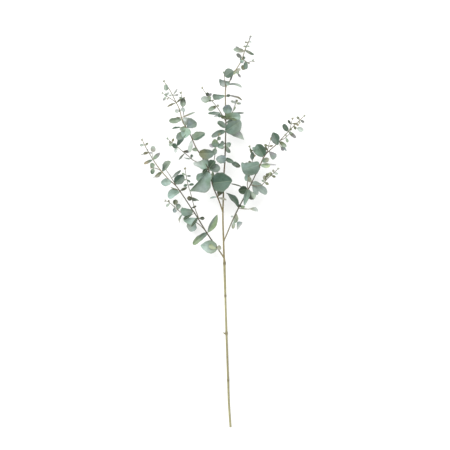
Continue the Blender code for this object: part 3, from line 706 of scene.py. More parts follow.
def tip_leaves(path, draw):
    """The pair that opens at a growing tip, one blade above the other."""
    heading = tangents(path)[-1]
    direction = math.degrees(math.atan2(heading.y, heading.x))
    at = path[-1] - heading * TIP_LEAF_STALK
    size = TIP_LEAF * draw.uniform(1 - TIP_LEAF_SPREAD, 1 + TIP_LEAF_SPREAD)
    width = size * TIP_LEAF_WIDTH
    young = {"form": "long", "blade": width, "stalk": TIP_LEAF_STALK}
    found = []
    for hand in (1, -1):
        tint = draw.choice(TIP_TINTS)
        turned = direction + hand * TIP_TURN
        found.append(leaf(at.x, at.y, turned, size, width, tint, hand * TIP_LEAN, **young))
    return found


def stem_at(path, radii, place):
    """The stem's axis and radius nearest to a place seen from above."""
    best = None
    for start, end, r_start, r_end in zip(path, path[1:], radii, radii[1:]):
        span = (end - start).to_2d()
        t = min(1.0, max(0.0, (place - start.to_2d()).dot(span) / span.length_squared))
        found = start.lerp(end, t)
        gap = (found.to_2d() - place).length
        if best is None or gap < best[0]:
            best = (gap, found, r_start + (r_end - r_start) * t)
    return best[1:]


def leaf_material():
    """A eucalyptus leaf: thick, leathery and matte under a waxy bloom, with a paler midrib and fine veins.

    The bloom makes it grey-blue and wears off in patches. Side veins leave the midrib about every
    3 mm and end in one that follows the edge, and the rim is thin and darker.
    """
    made, tree, shader = new_material("waxy_eucalyptus_leaf")
    tint = add(tree, "Attribute", attribute_name="tint")
    place = add(tree, "Attribute", attribute_name="place").outputs["Vector"]
    across, forward, outward = add(tree, "SeparateXYZ", {0: place}).outputs
    where = add(tree, "TexCoord").outputs["Object"]
    # Veins run forward from the midrib at a slant, and wander by up to a millimetre.
    wander_scale = 1 / (VEIN_WANDER_LENGTH * MM)
    wander = add(tree, "TexNoise", {"Vector": where, "Scale": wander_scale, "Detail": 2.0})
    side = add(tree, "Math", {0: across}, operation="ABSOLUTE")
    slant = add(tree, "Math", {0: side, 1: -VEIN_SLANT, 2: forward}, operation="MULTIPLY_ADD")
    bent = add(tree, "Math", {0: wander, 1: VEIN_WANDER, 2: slant}, operation="MULTIPLY_ADD")
    stripes = add(tree, "Math", {0: bent, 1: VEIN_SPACING}, operation="DIVIDE")
    saw = add(tree, "Math", {0: stripes}, operation="FRACT")
    centred = add(tree, "Math", {0: saw, 1: 0.5}, operation="SUBTRACT")
    off = add(tree, "Math", {0: centred}, operation="ABSOLUTE")
    side_vein = add(tree, "MapRange", {"Value": off, "From Max": 0.11, "To Min": 0.6, "To Max": 0.0})
    whole, gone = MIDRIB_FADE
    midrib = add(
        tree, "MapRange", {"Value": side, "From Min": whole, "From Max": gone, "To Min": 1.0, "To Max": 0.0}
    )
    edge_off = add(tree, "Math", {0: outward, 1: EDGE_VEIN}, operation="SUBTRACT")
    edge_gap = add(tree, "Math", {0: edge_off}, operation="ABSOLUTE")
    edge_vein = add(tree, "MapRange", {"Value": edge_gap, "From Max": 0.03, "To Min": 0.5, "To Max": 0.0})
    finer = add(tree, "Math", {0: side_vein, 1: edge_vein}, operation="MAXIMUM")
    veins = add(tree, "Math", {0: finer, 1: midrib}, operation="MAXIMUM")

    bloom_scale = 1 / (BLOOM_PATCH * MM)
    bloom = add(tree, "TexNoise", {"Vector": where, "Scale": bloom_scale, "Detail": 4.0, "Roughness": 0.6})
    bloom_shade = add(
        tree,
        "MapRange",
        {"Value": bloom, "From Min": 0.32, "From Max": 0.68, "To Min": 0.84, "To Max": 1.14},
    )
    worn_scale = 1 / (WORN_PATCH * MM)
    worn = add(tree, "TexNoise", {"Vector": where, "Scale": worn_scale, "Detail": 2.0})
    worn_share = add(tree, "MapRange", {"Value": worn, "From Min": 0.36, "From Max": 0.62})
    greener = add(tree, "VectorMath", {0: tint, 1: WORN_TONE}, operation="MULTIPLY")
    bluer = add(tree, "VectorMath", {0: tint, 1: BLOOM_TONE}, operation="MULTIPLY")
    toned = add(tree, "Mix", {0: worn_share, 6: greener, 7: bluer}, data_type="RGBA").outputs[2]
    bloomed = add(tree, "VectorMath", {0: toned, "Scale": bloom_shade}, operation="SCALE")
    vein_share = add(tree, "Math", {0: veins, 1: VEIN_SHARE}, operation="MULTIPLY")
    vein_colour = (*linear(LEAF_VEIN), 1)
    veined = add(tree, "Mix", {0: vein_share, 6: bloomed, 7: vein_colour}, data_type="RGBA").outputs[2]
    rim = add(tree, "MapRange", {"Value": outward, "From Min": 0.8, "To Max": 0.45})
    rimmed = add(tree, "Mix", {0: rim, 6: veined, 7: (*linear(DARKER_RIM), 1)}, data_type="RGBA").outputs[2]
    tree.links.new(rimmed, shader.inputs["Base Color"])
    rough = add(tree, "MapRange", {"Value": bloom, **NOISE_MIDDLE, "To Min": 0.5, "To Max": 0.68})
    tree.links.new(rough.outputs[0], shader.inputs["Roughness"])
    grain = add(tree, "TexNoise", {"Vector": where, "Scale": 1 / (WAX_GRAIN * MM), "Detail": 2.0})
    height = add(tree, "Math", {0: grain, 1: veins}, operation="SUBTRACT")
    relief = add(tree, "Bump", {"Height": height, "Strength": 0.3, "Distance": VEIN_DEPTH * MM})
    tree.links.new(relief.outputs[0], shader.inputs["Normal"])
    shader.inputs["IOR"].default_value = 1.42
    shader.inputs["Specular IOR Level"].default_value = 0.35
    shader.inputs["Sheen Weight"].default_value = 0.06
    return made


young_bark = bark_material("young_eucalyptus_bark", roughness=0.56, contrast=0.34, grain=0.5)
waxy_leaf = leaf_material()
draw_tips = random.Random(TIP_SEED)


def grow_stem(name, route, leaves, ends, wood, sides=STEM_SIDES):
    """A leafy stem in two pieces, its wood and its leaves, in the place of its node.

    ends are the radii at its foot and its tip, and wood its colours on the way there.
    """
    path = smooth_path(route, STEM_STEP)
    along = distances(path)
    radii = [ends[0] + (ends[1] - ends[0]) * s / along[-1] for s in along]
    joints = [stem_at(path, radii, blade["place"])[0] for blade in leaves]
    shown_radii = []
    tints = []
    for centre, thin, s in zip(path, radii, along):
        swelling = COLLAR * math.exp(-((s / COLLAR_LENGTH) ** 2))
        nearest = min((centre - joint).length for joint in joints)
        swelling += NODE_SWELLING * math.exp(-((nearest / NODE_LENGTH) ** 2))
        shown_radii.append(thin * (1 + swelling))
        share = s / along[-1] * (len(wood) - 1)
        low = min(len(wood) - 2, int(share))
        tints.append(mixed(linear(WOOD_TINTS[wood[low]]), linear(WOOD_TINTS[wood[low + 1]]), share - low))
    shown_radii[-1] *= TIP_NARROWING
    stem = Growth()
    grow_tube(stem, path, shown_radii, sides, tints)
    stem_piece = stem.piece(name + "_wood", [young_bark], CREASE)

    draw = random.Random(name)
    foliage = Growth()
    for blade in leaves + tip_leaves(path, draw_tips):
        at, thin = stem_at(path, radii, blade["place"])
        nearest = min(range(len(path)), key=lambda i: (path[i] - at).length)
        grow_leaf(foliage, at, thin, blade, tints[nearest], draw)
    leaf_piece = foliage.piece(name + "_leaves", [waxy_leaf], CREASE)
    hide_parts(name)


# The leader
# The main stem above the cane: it keeps straight, thins from 4.6 mm to about 2 mm and carries leaves
# up to the highest tip, where it leans right.
route = [
    (0, 415.3, 22.5), (-1, 425, 23.5), (-2.5, 470, 28), (-4, 530, 33), (-2.5, 590, 37), (-1, 640, 39),
    (1, 668, 40), (2.5, 720, 39), (3.5, 760, 38), (2.5, 800, 35), (3, 850, 31), (12, 865, 29.5),
    (22, 885, 27), (33, 903, 25), (43, 920, 23), (51, 945, 20), (60, 966, 17), (64, 977, 15.5),
]
leaves = [
    strap(1, 671.5, 180, 23, 22, "blue>pale", stalk=-4.5, lift=3.2,
        edges=((1, "tapered"), (1, "tapered"))),
    strap(1, 673, -22, 25, 13, "dark>slate", stalk=0.2, edges=((0.9, "tapered"), (0.9, "tapered"))),
    leaf(1, 672, -27, 43, 13, "slate>ink", -2, form="round", blade=13, stalk=17),
    leaf(2, 703, 28, 17, 13, "haze>slate", 12, form="round"),
    leaf(2, 707, -54, 23, 9, "haze>grey", -2),
    leaf(2.5, 711, 178, 13, 12, "grey", 10),
    leaf(2, 703, 196, 14, 9, "sage", 14),
    strap(4, 742, 192, 38, 14, "dark>grey", 0, sweep=6),
    leaf(4, 742, 33, 46, 38, "dark>grey", 6, form="round", stalk=-3, lift=2,
        edges=((0.7, "even"), (1.1, "even"))),
    leaf(4, 741, -24, 49, 20, "grey>haze", -12, form="oval", blade=20, edges=((1, "full"), (0.3, "even"))),
    strap(3.5, 752, 148, 25, 14, "slate/grey", stalk=-2, lift=2),
    leaf(3.5, 762, 18, 20, 11, "slate", 20),
    leaf(3, 776, 172, 14, 9, "olive", 18, stalk=-3, lift=3),
    leaf(3, 776, 5, 38, 20, "green>mint", 10, form="strap", stalk=-4, lift=2,
        edges=((0.9, "blunt"), (1.1, "waisted"))),
    leaf(3, 774, -4, 30, 8, "olive>green", 24, blade=10, stalk=-3, lift=4.4),
    leaf(2.5, 784, 68, 26, 24, "mint>blue", 24, form="round"),
    leaf(3, 786, 4, 47, 4, "mint>slate", 20, curl=8, blade=6, stalk=14),
    strap(2.5, 830, 180, 33, 15, "teal>grey", 6, edges=((1.1, "flared"), (0.7, "waisted"))),
    leaf(2.5, 829, 9, 44, 3.4, "purple>bronze", 4, side=-1, curl=-46, blade=11),
    leaf(2.5, 829, 14, 13, 7, "deep", 12),
    strap(4, 853, 130, 26, 17, "haze>blue", edges=((1, "tapered"), (0.9, "drooped"))),
    leaf(4, 854, 60, 15, 12, "pale>grey", 14),
    leaf(5, 857, 17, 40, 5, "slate>haze", 6, side=-1, curl=-54, blade=13),
    leaf(29, 896, 240, 15, 9, "dusty>lime", 12),
    leaf(31, 898, -22, 11, 8, "dusty", 15),
    leaf(31, 898, -76, 15, 9, "dusty>sage"),
    leaf(30, 893, -51, 22, 5, "purple", 0, blade=6, stalk=7),
    leaf(45, 925, 149, 19, 9, "purple", 5),
    leaf(45, 923, -97, 12, 10, "pale>blue", 15, form="round"),
    leaf(45, 924, 20, 8, 8, "slate", 12),
    leaf(45, 922, 170, 6, 5, "slate", 12),
    strap(50, 943, 173, 29, 12, "dusty>haze", 5),
    leaf(50, 944, 161, 26, 5, "purple", -4, blade=6, stalk=10),
    leaf(51, 945, -23, 26, 7, "dusty>slate", 6, form="strap", blade=8),
    leaf(52, 948, -58, 9, 5, "slate"),
    leaf(54, 953, 160, 8, 5, "dusty"),
    leaf(53, 950, 78, 9, 4.5, "sage"),
    leaf(55, 955, 0, 8, 5, "sage"),
    leaf(59, 963, 158, 9, 5, "dusty", 10),
    leaf(58, 960, 66, 9, 5, "dusty", 6),
    leaf(62, 970, 76, 12, 4, "lilac"),
    leaf(61, 967, -12, 8, 5, "haze", 10),
    leaf(12.5, 866, 64, 15, 5, "purple", blade=5),
]
wood = ("tan", "tan", "tan", "brown", "dark", "dark", "tan", "dusty", "grey")
grow_stem("leader", route, leaves, (2.3, 1.05), wood)


# The left branch
# The lowest side branch. It leaves the leader just above the cane and rises to the left, its tip
# bowed down to the surface.
route = [
    (-1, 425, 23.5), (-13, 443, 27), (-33, 471, 29), (-50, 497, 30), (-68, 527, 31), (-84, 551, 32),
    (-105, 583, 32), (-122, 606, 31), (-142, 624, 29), (-168, 655, 24), (-184, 680, 21), (-196, 700, 19),
    (-205, 718, 17),
]
leaves = [
    leaf(-16, 448, 169, 45, 30, "sage>pale", 0, form="round", edges=((1, "tapered"), (1.2, "tapered"))),
    leaf(-18, 450, 166, 23, 14, "lime", stalk=-1),
    leaf(-21, 453, -20, 14, 13, "dusty", 12, form="round"),
    strap(-43, 488, 214, 45, 16, "slate>green", 2, curl=4, stalk=-1.5, sweep=4,
        edges=((0.9, "even"), (1, "even"))),
    leaf(-42.5, 487, 62, 54, 18, "grey/green", 4, curl=8, form="long", blade=18,
        edges=((0.7, "even"), (1.2, "even"))),
    leaf(-66, 523, 187, 38, 24, "mint", 5, form="round", edges=((1.2, "tapered"), (0.4, "even"))),
    # This narrow leaf lies folded under the mint leaf; its deep tint is painted shade.
    leaf(-75, 537, 209, 34, 8, "deep", 22, curl=12, form="fan", blade=8, stalk=5),
    strap(-64, 528, 236, 29, 6, "deep", 22, stalk=-4, lift=2),
    leaf(-67, 524, -2, 17, 9, "ink", 6, form="fan", blade=9),
    strap(-78, 541, 180, 32, 20, "grey>teal", 12, edges=((1, "blunt"), (1.1, "waisted"))),
    leaf(-84, 549, 30, 14, 5, "deep", -10),
    leaf(-110, 591, 199, 35, 23, "teal>mint", form="fan", sweep=3,
        edges=((1, "hollow"), (1.4, "shouldered"))),
    leaf(-113, 594, 169, 23, 4, "olive", 14, blade=7),
    leaf(-112, 592, 34, 20, 7, "olive", -14),
    leaf(-133, 613, 181, 28, 19, "pale>mint", 10, form="round"),
    leaf(-126, 609, 42, 32, 25, "pine/grey", -10, form="round", edges=((1, "even"), (0.9, "even"))),
    strap(-155.5, 641, 50, 35, 17, "slate>sage", 10, edges=((1, "flared"), (0.5, "even"))),
    strap(-156, 640, 215, 22, 9, "olive>dusty", 6),
    leaf(-156, 640, 219, 29, 4, "lilac", -6, blade=7),
    leaf(-157, 640, 236, 18, 5, "lilac", -8, blade=7),
    leaf(-178, 672, 206, 26, 8, "slate>tan", 4, curl=8, blade=8),
    leaf(-180, 671, 43, 25, 10, "sage>purple", 6, form="heart", blade=10),
    strap(-180, 675, 84, 32, 13, "dusty>haze", 10, stalk=15),
    leaf(-189, 689.5, 200, 14, 7, "bronze", 4, form="strap", blade=8),
    leaf(-189, 689, 202, 23, 3.5, "lilac", -4, blade=6),
    leaf(-189, 689, 2, 9, 3.5, "purple"),
    leaf(-191, 692, 118, 6, 4, "purple"),
    leaf(-200, 708, 186, 13, 7, "haze", 6),
    leaf(-199, 706, 46, 11, 6, "dusty", 6),
]
wood = ("tan", "dark", "dark", "dark", "dark", "brown", "tan", "grey", "dusty")
grow_stem("branch_left", route, leaves, (1.75, 0.95), wood)


# The right branch
# The next side branch, to the right, with a wide fan-shaped leaf turned back over its left side.
# Its outer leaves touch the surface.
route = [
    (-2.5, 466, 27.6), (8, 490, 31), (17, 512, 33), (30, 540, 35), (43, 565, 36), (57, 592, 37),
    (72, 622, 37), (87, 653, 36), (100, 680, 34), (115, 696, 32), (130, 709, 30), (150, 731, 27),
    (170, 752, 23), (184, 766, 20), (198, 779, 17.5),
]
leaves = [
    leaf(31, 539, 263, 27, 13, "dusty>sage", -6, curl=8, blade=13, stalk=2),
    leaf(28, 534, 260, 37, 9, "haze>dusty", -10, curl=8, blade=9, stalk=16),
    strap(26, 528, -62, 33, 13, "blue>lilac", 2, stalk=14, sweep=-8, edges=((1, "full"), (0.5, "even"))),
    leaf(24, 528, 172, 9, 5, "haze", 10),
    leaf(35, 550, 110, 51, 16, "slate/dark", 10, curl=-50, edges=((1, "tapered"), (1, "tapered"))),
    leaf(35, 551, 58, 10, 8, "ink", 16),
    leaf(35, 549, -3, 51, 11, "dusty>haze", 6, form="fan", blade=11, stalk=23, sweep=-5,
        edges=((1, "flared"), (0.6, "even"))),
    strap(35, 549, -5, 28, 3, "bronze>dusty", 4),
    leaf(36, 553, 6, 15, 7, "green", 12),
    leaf(58, 597, 186, 26, 21, "deep", 14, form="round"),
    leaf(58, 597, 157, 46, 4, "ink", 0, curl=-14, blade=6, stalk=14),
    leaf(60, 597, 256, 43, 15, "slate>teal", 2, form="heart", blade=15, stalk=-1, lift=2.2,
        edges=((0.9, "shouldered"), (1, "even"))),
    leaf(60, 596, -60, 29, 17, "sage/ink", 4, form="round", stalk=3, edges=((1, "flared"), (1, "flared"))),
    strap(68, 616, -42, 48, 18, "grey", 0, edges=((1, "blunt"), (0.7, "even"))),
    leaf(67, 613, -63, 34, 13, "grey", 2, form="fan", blade=13),
    leaf(68, 612, 122, 18, 11, "dusty", 24),
    strap(88.5, 660, 199, 49, 36, "slate/teal", 2, edges=((1.1, "even"), (1.1, "waisted"))),
    leaf(88, 659, 3, 42, 4, "sage>lilac", 20, blade=5),
    leaf(89, 656, -2, 27, 13, "sage>lime", 14, blade=13),
    leaf(92, 665, 22, 22, 13, "grey>dusty", 24),
    leaf(98, 678, 122, 37, 29, "teal/dark", form="round"),
    leaf(97, 676, 143, 38, 13, "mint", 0),
    leaf(112, 691, -62, 25, 17, "purple>grey", form="fan", edges=((1.7, "shouldered"), (0.7, "hollow"))),
    leaf(110, 690, 135, 17, 5, "olive", -16, curl=40, blade=8),
    leaf(132, 710, 112, 31, 22, "grey/dark", stalk=-5, lift=1.8),
    strap(137, 716, -36, 23, 11, "olive>sage", 10),
    leaf(137, 715, -47, 30, 5, "sage>blue", 0, blade=6),
    leaf(134, 712, -50, 24, 9, "purple", -10, blade=9, stalk=11),
    strap(160, 741, 128, 23, 13, "slate", 10),
    strap(160, 742, -43, 25, 9, "olive>purple", 4),
    leaf(161.5, 743, 35, 9, 5, "olive", 6),
    leaf(172, 754, -22, 28, 12, "haze", 4, blade=12, stalk=9),
    leaf(174, 756, -62, 11, 7, "olive", 6),
    leaf(178, 760, -20, 9, 6, "tan", 6),
    leaf(189, 770, 130, 12, 7, "dusty"),
    leaf(189, 771, -28, 13, 7, "purple"),
    leaf(188, 769, -88, 9, 6, "dusty"),
]
wood = ("dusty", "grey", "dark", "dark", "brown", "brown", "grey", "dusty")
grow_stem("branch_right", route, leaves, (1.75, 0.95), wood)


# The centre branch
# It crosses over the leader's left side and holds the largest leaf of all. It lies highest,
# so its leaves cover what is below them.
route = [
    (-3.8, 540, 33.8), (-8, 552, 38), (-16, 574, 46), (-28, 602, 55), (-40, 645, 62), (-55, 675, 66),
    (-72, 702, 68), (-84, 730, 68), (-100, 757, 67), (-107, 775, 66), (-112, 795, 64), (-124, 820, 60),
    (-136, 843, 55), (-149, 863, 51),
]
leaves = [
    leaf(-18, 578, 200, 19, 6, "pale", 5, blade=9),
    leaf(-17, 576, -24, 23, 7, "dusty", 16, side=-1, blade=10),
    leaf(-17, 576, 68, 27, 18, "bronze>slate", 4, form="fan"),
    leaf(-32, 611, 7, 51, 47, "pine/dark", 5, curl=10, form="round", stalk=-1.5,
        edges=((1, "shouldered"), (1.1, "tapered"))),
    leaf(-31, 608, 96, 34, 7, "green", 6, blade=12),
    leaf(-39, 643, 240, 68, 41, "teal>grey", -4, form="round", sweep=-14,
        edges=((1, "bellied"), (0.3, "even"))),
    leaf(-39, 641, 217, 37, 20, "dark>teal", -14, form="fan", stalk=1),
    leaf(-37, 650, 222, 22, 10, "deep", 26, curl=30, form="oval", blade=10),
    leaf(-41, 648, 148, 39, 27, "mint>haze", form="oval", sweep=7,
        edges=((1, "hollow"), (1.1, "drooped"))),
    strap(-38, 645, 12, 30, 22, "slate>grey", 4, edges=((1.1, "even"), (0.7, "flared"))),
    leaf(-40, 647, 49, 28, 18, "deep>dark", 20, form="round", edges=((1, "flared"), (0.8, "even"))),
    leaf(-66, 681, 3, 37, 25, "olive>slate", 6, form="round", stalk=-4, lift=2,
        edges=((0.9, "tapered"), (1.2, "even"))),
    leaf(-66, 690, 150, 15, 9, "sage", 10),
    leaf(-68, 696, 186, 12, 8, "dusty", 4),
    strap(-80, 719, 28, 36, 18, "sage/dark", 12, edges=((1.4, "shouldered"), (0.8, "even"))),
    leaf(-80, 721, 264, 34, 9, "haze", -8, blade=13),
    leaf(-95, 751, 260, 29, 28, "pale>mint", 6, form="round", lift=1.6,
        edges=((1, "shouldered"), (0.7, "even"))),
    leaf(-91, 742, 222, 36, 18, "green>grey", -2),
    strap(-97, 752, 209, 17, 13, "sage", 24, edges=((1.1, "blunt"), (0.5, "even"))),
    leaf(-97, 753, 72, 20, 8, "haze", 10),
    leaf(-95, 748, 27, 30, 27, "blue>grey", form="round", edges=((1, "flared"), (0.5, "flared"))),
    leaf(-98, 754, 203, 33, 5, "dark", 2, curl=20, blade=10, stalk=9),
    strap(-106, 771, 190, 33, 14.5, "sage", 4, edges=((1.1, "even"), (0.7, "flared"))),
    leaf(-107, 774, 24, 37, 4.5, "tan>haze", curl=10, blade=5),
    leaf(-107, 774, 181, 14, 3, "bronze", 14, blade=4),
    leaf(-111, 795, 214, 13, 10, "lilac>haze", 10),
    leaf(-111, 797, -82, 9, 3, "slate", 14, blade=4),
    leaf(-110, 792, 20, 12, 9, "haze", 14),
    leaf(-120, 811, 200, 25, 5.5, "bronze", 4, curl=-14, blade=8),
    leaf(-120, 811, 41, 15, 5, "bronze", 4, blade=5, stalk=-0.5),
    leaf(-129, 829, 55, 21, 5, "lilac", 4, blade=5),
    leaf(-129, 829, 8, 15, 5, "lilac>purple", 4, blade=5),
    leaf(-130, 831, 196, 9, 5, "haze", 4),
    leaf(-138, 848, 184, 9, 5, "dusty", 6),
    strap(-144, 860, 272, 18, 12, "grey/haze", 14, lift=1.4),
    strap(-108, 771, -13, 26, 12, "haze", -4),
    strap(-107, 771, -62, 16, 8, "haze", -4),
]
wood = ("tan", "brown", "dark", "dark", "brown", "grey", "tan", "grey", "dusty")
grow_stem("branch_centre", route, leaves, (1.75, 0.95), wood)


# The left branch's twigs
# Four short side shoots with small, young leaves.
# They grow from the joints of the left branch.
TWIG_TIP_RADIUS = 0.8
TWIG_WOOD = ("brown", "grey", "grey")
TWIG_SIDES = 10


def grow_twig(name, route, leaves, radius):
    """A thin side shoot, brown at its foot and grey further out."""
    grow_stem(name, route, leaves, (radius, TWIG_TIP_RADIUS), TWIG_WOOD, TWIG_SIDES)


route = [
    (-45, 489, 29.6), (-54, 500, 24), (-68, 512, 18), (-85, 522, 16), (-105, 536, 15.5), (-120, 548, 16),
    (-137, 563, 17), (-145, 567, 17),
]
leaves = [
    leaf(-80, 519, 262, 29, 25, "pale/haze", 0, form="round"),
    leaf(-104, 535, 226, 25, 5, "dark>dusty", 6, curl=-50, blade=11),
    leaf(-106, 536, 100, 12, 8, "teal", -8),
    leaf(-117, 545, 84, 16, 13, "sage>grey", -6),
    leaf(-118, 546, 216, 13, 8, "haze", 10),
    leaf(-125, 552, 262, 14, 8, "blue"),
    leaf(-125, 552, 82, 20, 13, "olive/dusty", 6, form="round", stalk=5),
    leaf(-137, 563, 232, 14, 7, "haze", 10),
    leaf(-137, 563, 120, 9, 5, "dusty"),
]
grow_twig("twig_left_1", route, leaves, radius=1.05)

route = [
    (-64, 521, 31), (-67, 531, 38), (-77, 558, 43), (-84, 585, 42), (-91, 608, 42), (-96, 632, 40),
    (-98, 645, 38),
]
leaves = [
    leaf(-80, 571, 160, 14, 12, "ink>bronze", form="round"),
    leaf(-81, 577, -25, 22, 13, "ink>slate", 10, form="heart", edges=((0.3, "even"), (0.8, "drooped"))),
    leaf(-91, 609, 204, 12, 7, "dark"),
    leaf(-90, 607, 14, 15, 6, "dark", blade=7),
    leaf(-94, 622, 196, 9, 5, "sage"),
    leaf(-94, 621, -30, 11, 5, "dark"),
    leaf(-95, 632, 160, 12, 6, "sage"),
    leaf(-95, 630, 6, 12, 5, "grey", blade=6),
]
grow_twig("twig_left_2", route, leaves, radius=1.05)

route = [(-121, 605, 31), (-128, 618, 38), (-136, 631, 41), (-145, 644, 42)]
leaves = [
    leaf(-131, 625, 46, 31, 8, "haze>grey", 6, blade=10),
]
grow_twig("twig_left_3", route, leaves, radius=1.0)

route = [(-157, 641, 26.5), (-163, 646, 23), (-171, 649, 21), (-180, 651, 20)]
leaves = [
    leaf(-178, 650, 256, 17, 11, "sage>slate", 6, stalk=-0.5),
    leaf(-178, 650, 115, 14, 12, "sage", 6, form="round", stalk=-0.5),
]
grow_twig("twig_left_4", route, leaves, radius=0.95)


# The right branch's twigs
# Five short side shoots, two of them under the large leaves.
# They grow from the joints of the right branch.
route = [
    (59, 597, 36.9), (57, 606, 32), (58, 618, 27), (61, 632, 25), (66, 652, 25), (70, 674, 26),
    (67, 693, 26), (64, 701, 26),
]
leaves = [
    leaf(64, 646, 254, 30, 12, "mint", -12),
    leaf(69, 668, 93, 23, 12, "grey/slate"),
    leaf(68, 664, 170, 10, 6, "olive"),
    leaf(70, 682, 112, 19, 5, "olive", blade=6),
    leaf(69, 680, 10, 9, 6, "tan"),
    leaf(67, 692, 30, 10, 5, "olive"),
]
grow_twig("twig_right_1", route, leaves, radius=1.05)

route = [
    (65, 608, 37), (77, 605, 43), (90, 606, 46), (98, 612, 47), (106, 622, 47), (117, 632, 46),
    (128, 642, 44), (132, 646, 43),
]
leaves = [
    leaf(101, 616, 96, 16, 10, "dusty/olive"),
    leaf(100, 614, -30, 12, 7, "olive", 6),
    leaf(100, 615, 150, 9, 5, "sage", 6),
    leaf(108, 624, 100, 14, 8, "olive", curl=30),
    leaf(112, 628, 74, 13, 9, "lime/olive"),
    leaf(116, 631, -12, 13, 6, "olive", blade=7),
    leaf(117, 632, 150, 10, 6, "olive"),
    leaf(122, 637, -10, 12, 7, "haze"),
    leaf(123, 638, 110, 9, 6, "dusty"),
]
grow_twig("twig_right_2", route, leaves, radius=1.05)

route = [(102, 682, 33.7), (108, 696, 37), (111, 708, 39), (115, 719, 40)]
leaves = [
    leaf(110, 705, 172, 12, 6, "olive"),
    leaf(110, 703, 24, 12, 5, "tan", blade=7),
    leaf(107, 694, 150, 9, 5, "olive"),
]
grow_twig("twig_right_3", route, leaves, radius=0.95)

route = [(141, 720, 28.4), (147, 722, 32), (154, 727, 34), (162, 735, 35)]
leaves = [
    leaf(153, 726, -62, 14, 7, "sage"),
    leaf(155, 728, 120, 9, 5, "dusty"),
]
grow_twig("twig_right_4", route, leaves, radius=0.95)

route = [(163.5, 746, 24.6), (165, 752, 28), (167, 761, 31), (169, 770, 32)]
leaves = [
    leaf(166, 761, -4, 17, 5, "bronze", side=-1, curl=10, blade=6),
    leaf(165, 759, 132, 14, 7, "ink"),
]
grow_twig("twig_right_5", route, leaves, radius=0.95)


# The centre branch's twigs
# Four short side shoots: one long one to the left, and one that leans back beside the leader.
# They grow from the joints of the centre branch.
route = [
    (-38, 636, 60.8), (-48, 648, 53), (-62, 661, 50), (-78, 669, 48), (-92, 681, 46), (-110, 696, 43),
    (-128, 711, 40), (-140, 721, 38),
]
leaves = [
    leaf(-83, 673, 80, 11, 7, "slate", -8),
    leaf(-84, 672, 200, 20, 5, "slate>haze", 6, curl=60, blade=10),
    leaf(-104, 691, 11, 18, 7, "bronze>purple", -6, blade=10),
    leaf(-99, 686, 218, 24, 5, "bronze>haze", side=-1, curl=20, blade=11),
    leaf(-117, 701, 160, 16, 13, "dark", 10),
    leaf(-119, 703, 74, 35, 13, "dark>teal", 6),
    leaf(-118, 702, 252, 16, 8, "haze", 6),
    leaf(-131, 713, 236, 12, 10, "haze", form="round"),
    leaf(-131, 714, 66, 11, 6, "tan"),
    leaf(-130, 713, 168, 10, 6, "dusty"),
]
grow_twig("twig_centre_1", route, leaves, radius=1.05)

route = [(-121, 813, 61), (-130, 819, 63), (-141, 826, 63), (-152, 834, 62)]
leaves = [
    leaf(-144, 828, 238, 15, 7, "sage>purple"),
    leaf(-143, 827, 128, 9, 8, "sage"),
    leaf(-144, 828, 62, 11, 6, "haze"),
    leaf(-138, 824, 222, 8, 5, "dusty"),
]
grow_twig("twig_centre_2", route, leaves, radius=0.95)

route = [
    (-96, 751, 67.3), (-97, 764, 61), (-101, 780, 57), (-104, 800, 56), (-104, 816, 56), (-108, 833, 55),
]
leaves = [
    leaf(-103, 800, 86, 24, 15, "sage>ink", form="round"),
    leaf(-104, 801, -72, 13, 8, "pale"),
    leaf(-103, 802, 62, 11, 9, "sage", 12),
    leaf(-105, 821, 150, 9, 6, "sage"),
    leaf(-105, 820, 40, 9, 6, "dusty"),
]
grow_twig("twig_centre_3", route, leaves, radius=1.0)

route = [
    (-39, 641, 61.5), (-33, 655, 55), (-26, 670, 53), (-23, 690, 53), (-20, 710, 54), (-15, 729, 54),
]
leaves = [
    leaf(-22, 700, 252, 20, 14, "grey", 10),
    leaf(-22, 699, 150, 19, 10, "lilac", blade=10, stalk=5),
    leaf(-21, 700, 96, 22, 18, "teal>green", 18, form="round"),
    leaf(-21, 705, -4, 19, 13, "teal", 6),
    leaf(-17, 717, 50, 13, 9, "grey"),
    leaf(-18, 716, 160, 10, 7, "green"),
]
grow_twig("twig_centre_4", route, leaves, radius=1.0)


# The leader's twigs
# Four short side shoots near the top of the leader.
# They grow from its upper joints.
route = [
    (3.5, 766, 37.8), (-3, 777, 41), (-9, 787, 42), (-18, 801, 43), (-30, 815, 43), (-42, 828, 42),
    (-50, 841, 41), (-54, 847, 40),
]
leaves = [
    strap(-9, 786, 181, 33, 8, "grey>dark", 6),
    leaf(-5, 780, 180, 13, 9, "dark", 10),
    leaf(-8, 783, 201, 20, 6, "haze", -6, blade=7),
    strap(-21, 803, 207, 23, 11, "sage", 6),
    leaf(-20, 803, 200, 9, 5, "bronze", 16),
    leaf(-20, 803, 30, 7, 6, "bronze>dusty", 6),
    leaf(-33, 819, 174, 27, 17, "sage>haze"),
    leaf(-32, 817, 186, 8, 4, "ink", 20),
    leaf(-32, 817, 20, 6, 4, "bronze"),
    leaf(-34, 819, 118, 11, 8, "sage>green", 12),
    leaf(-41, 827, 100, 12, 9, "ink", form="round"),
    leaf(-41, 827, 48, 13, 7, "purple"),
]
grow_twig("twig_leader_1", route, leaves, radius=1.05)

route = [(3, 771, 37.3), (13, 780, 32), (20, 790, 27), (25, 804, 23), (29, 816, 21)]
leaves = [
    leaf(28, 813, 164, 14, 6, "lime>haze", 6),
    leaf(27, 811, 120, 9, 7, "haze", 6),
    leaf(28, 813, 2, 14, 6, "lime>haze", 6),
    leaf(28, 814, 60, 8, 6, "lime", 6),
    leaf(20, 791, 66, 15, 4, "haze>lime", blade=5),
]
grow_twig("twig_leader_2", route, leaves, radius=1.0)

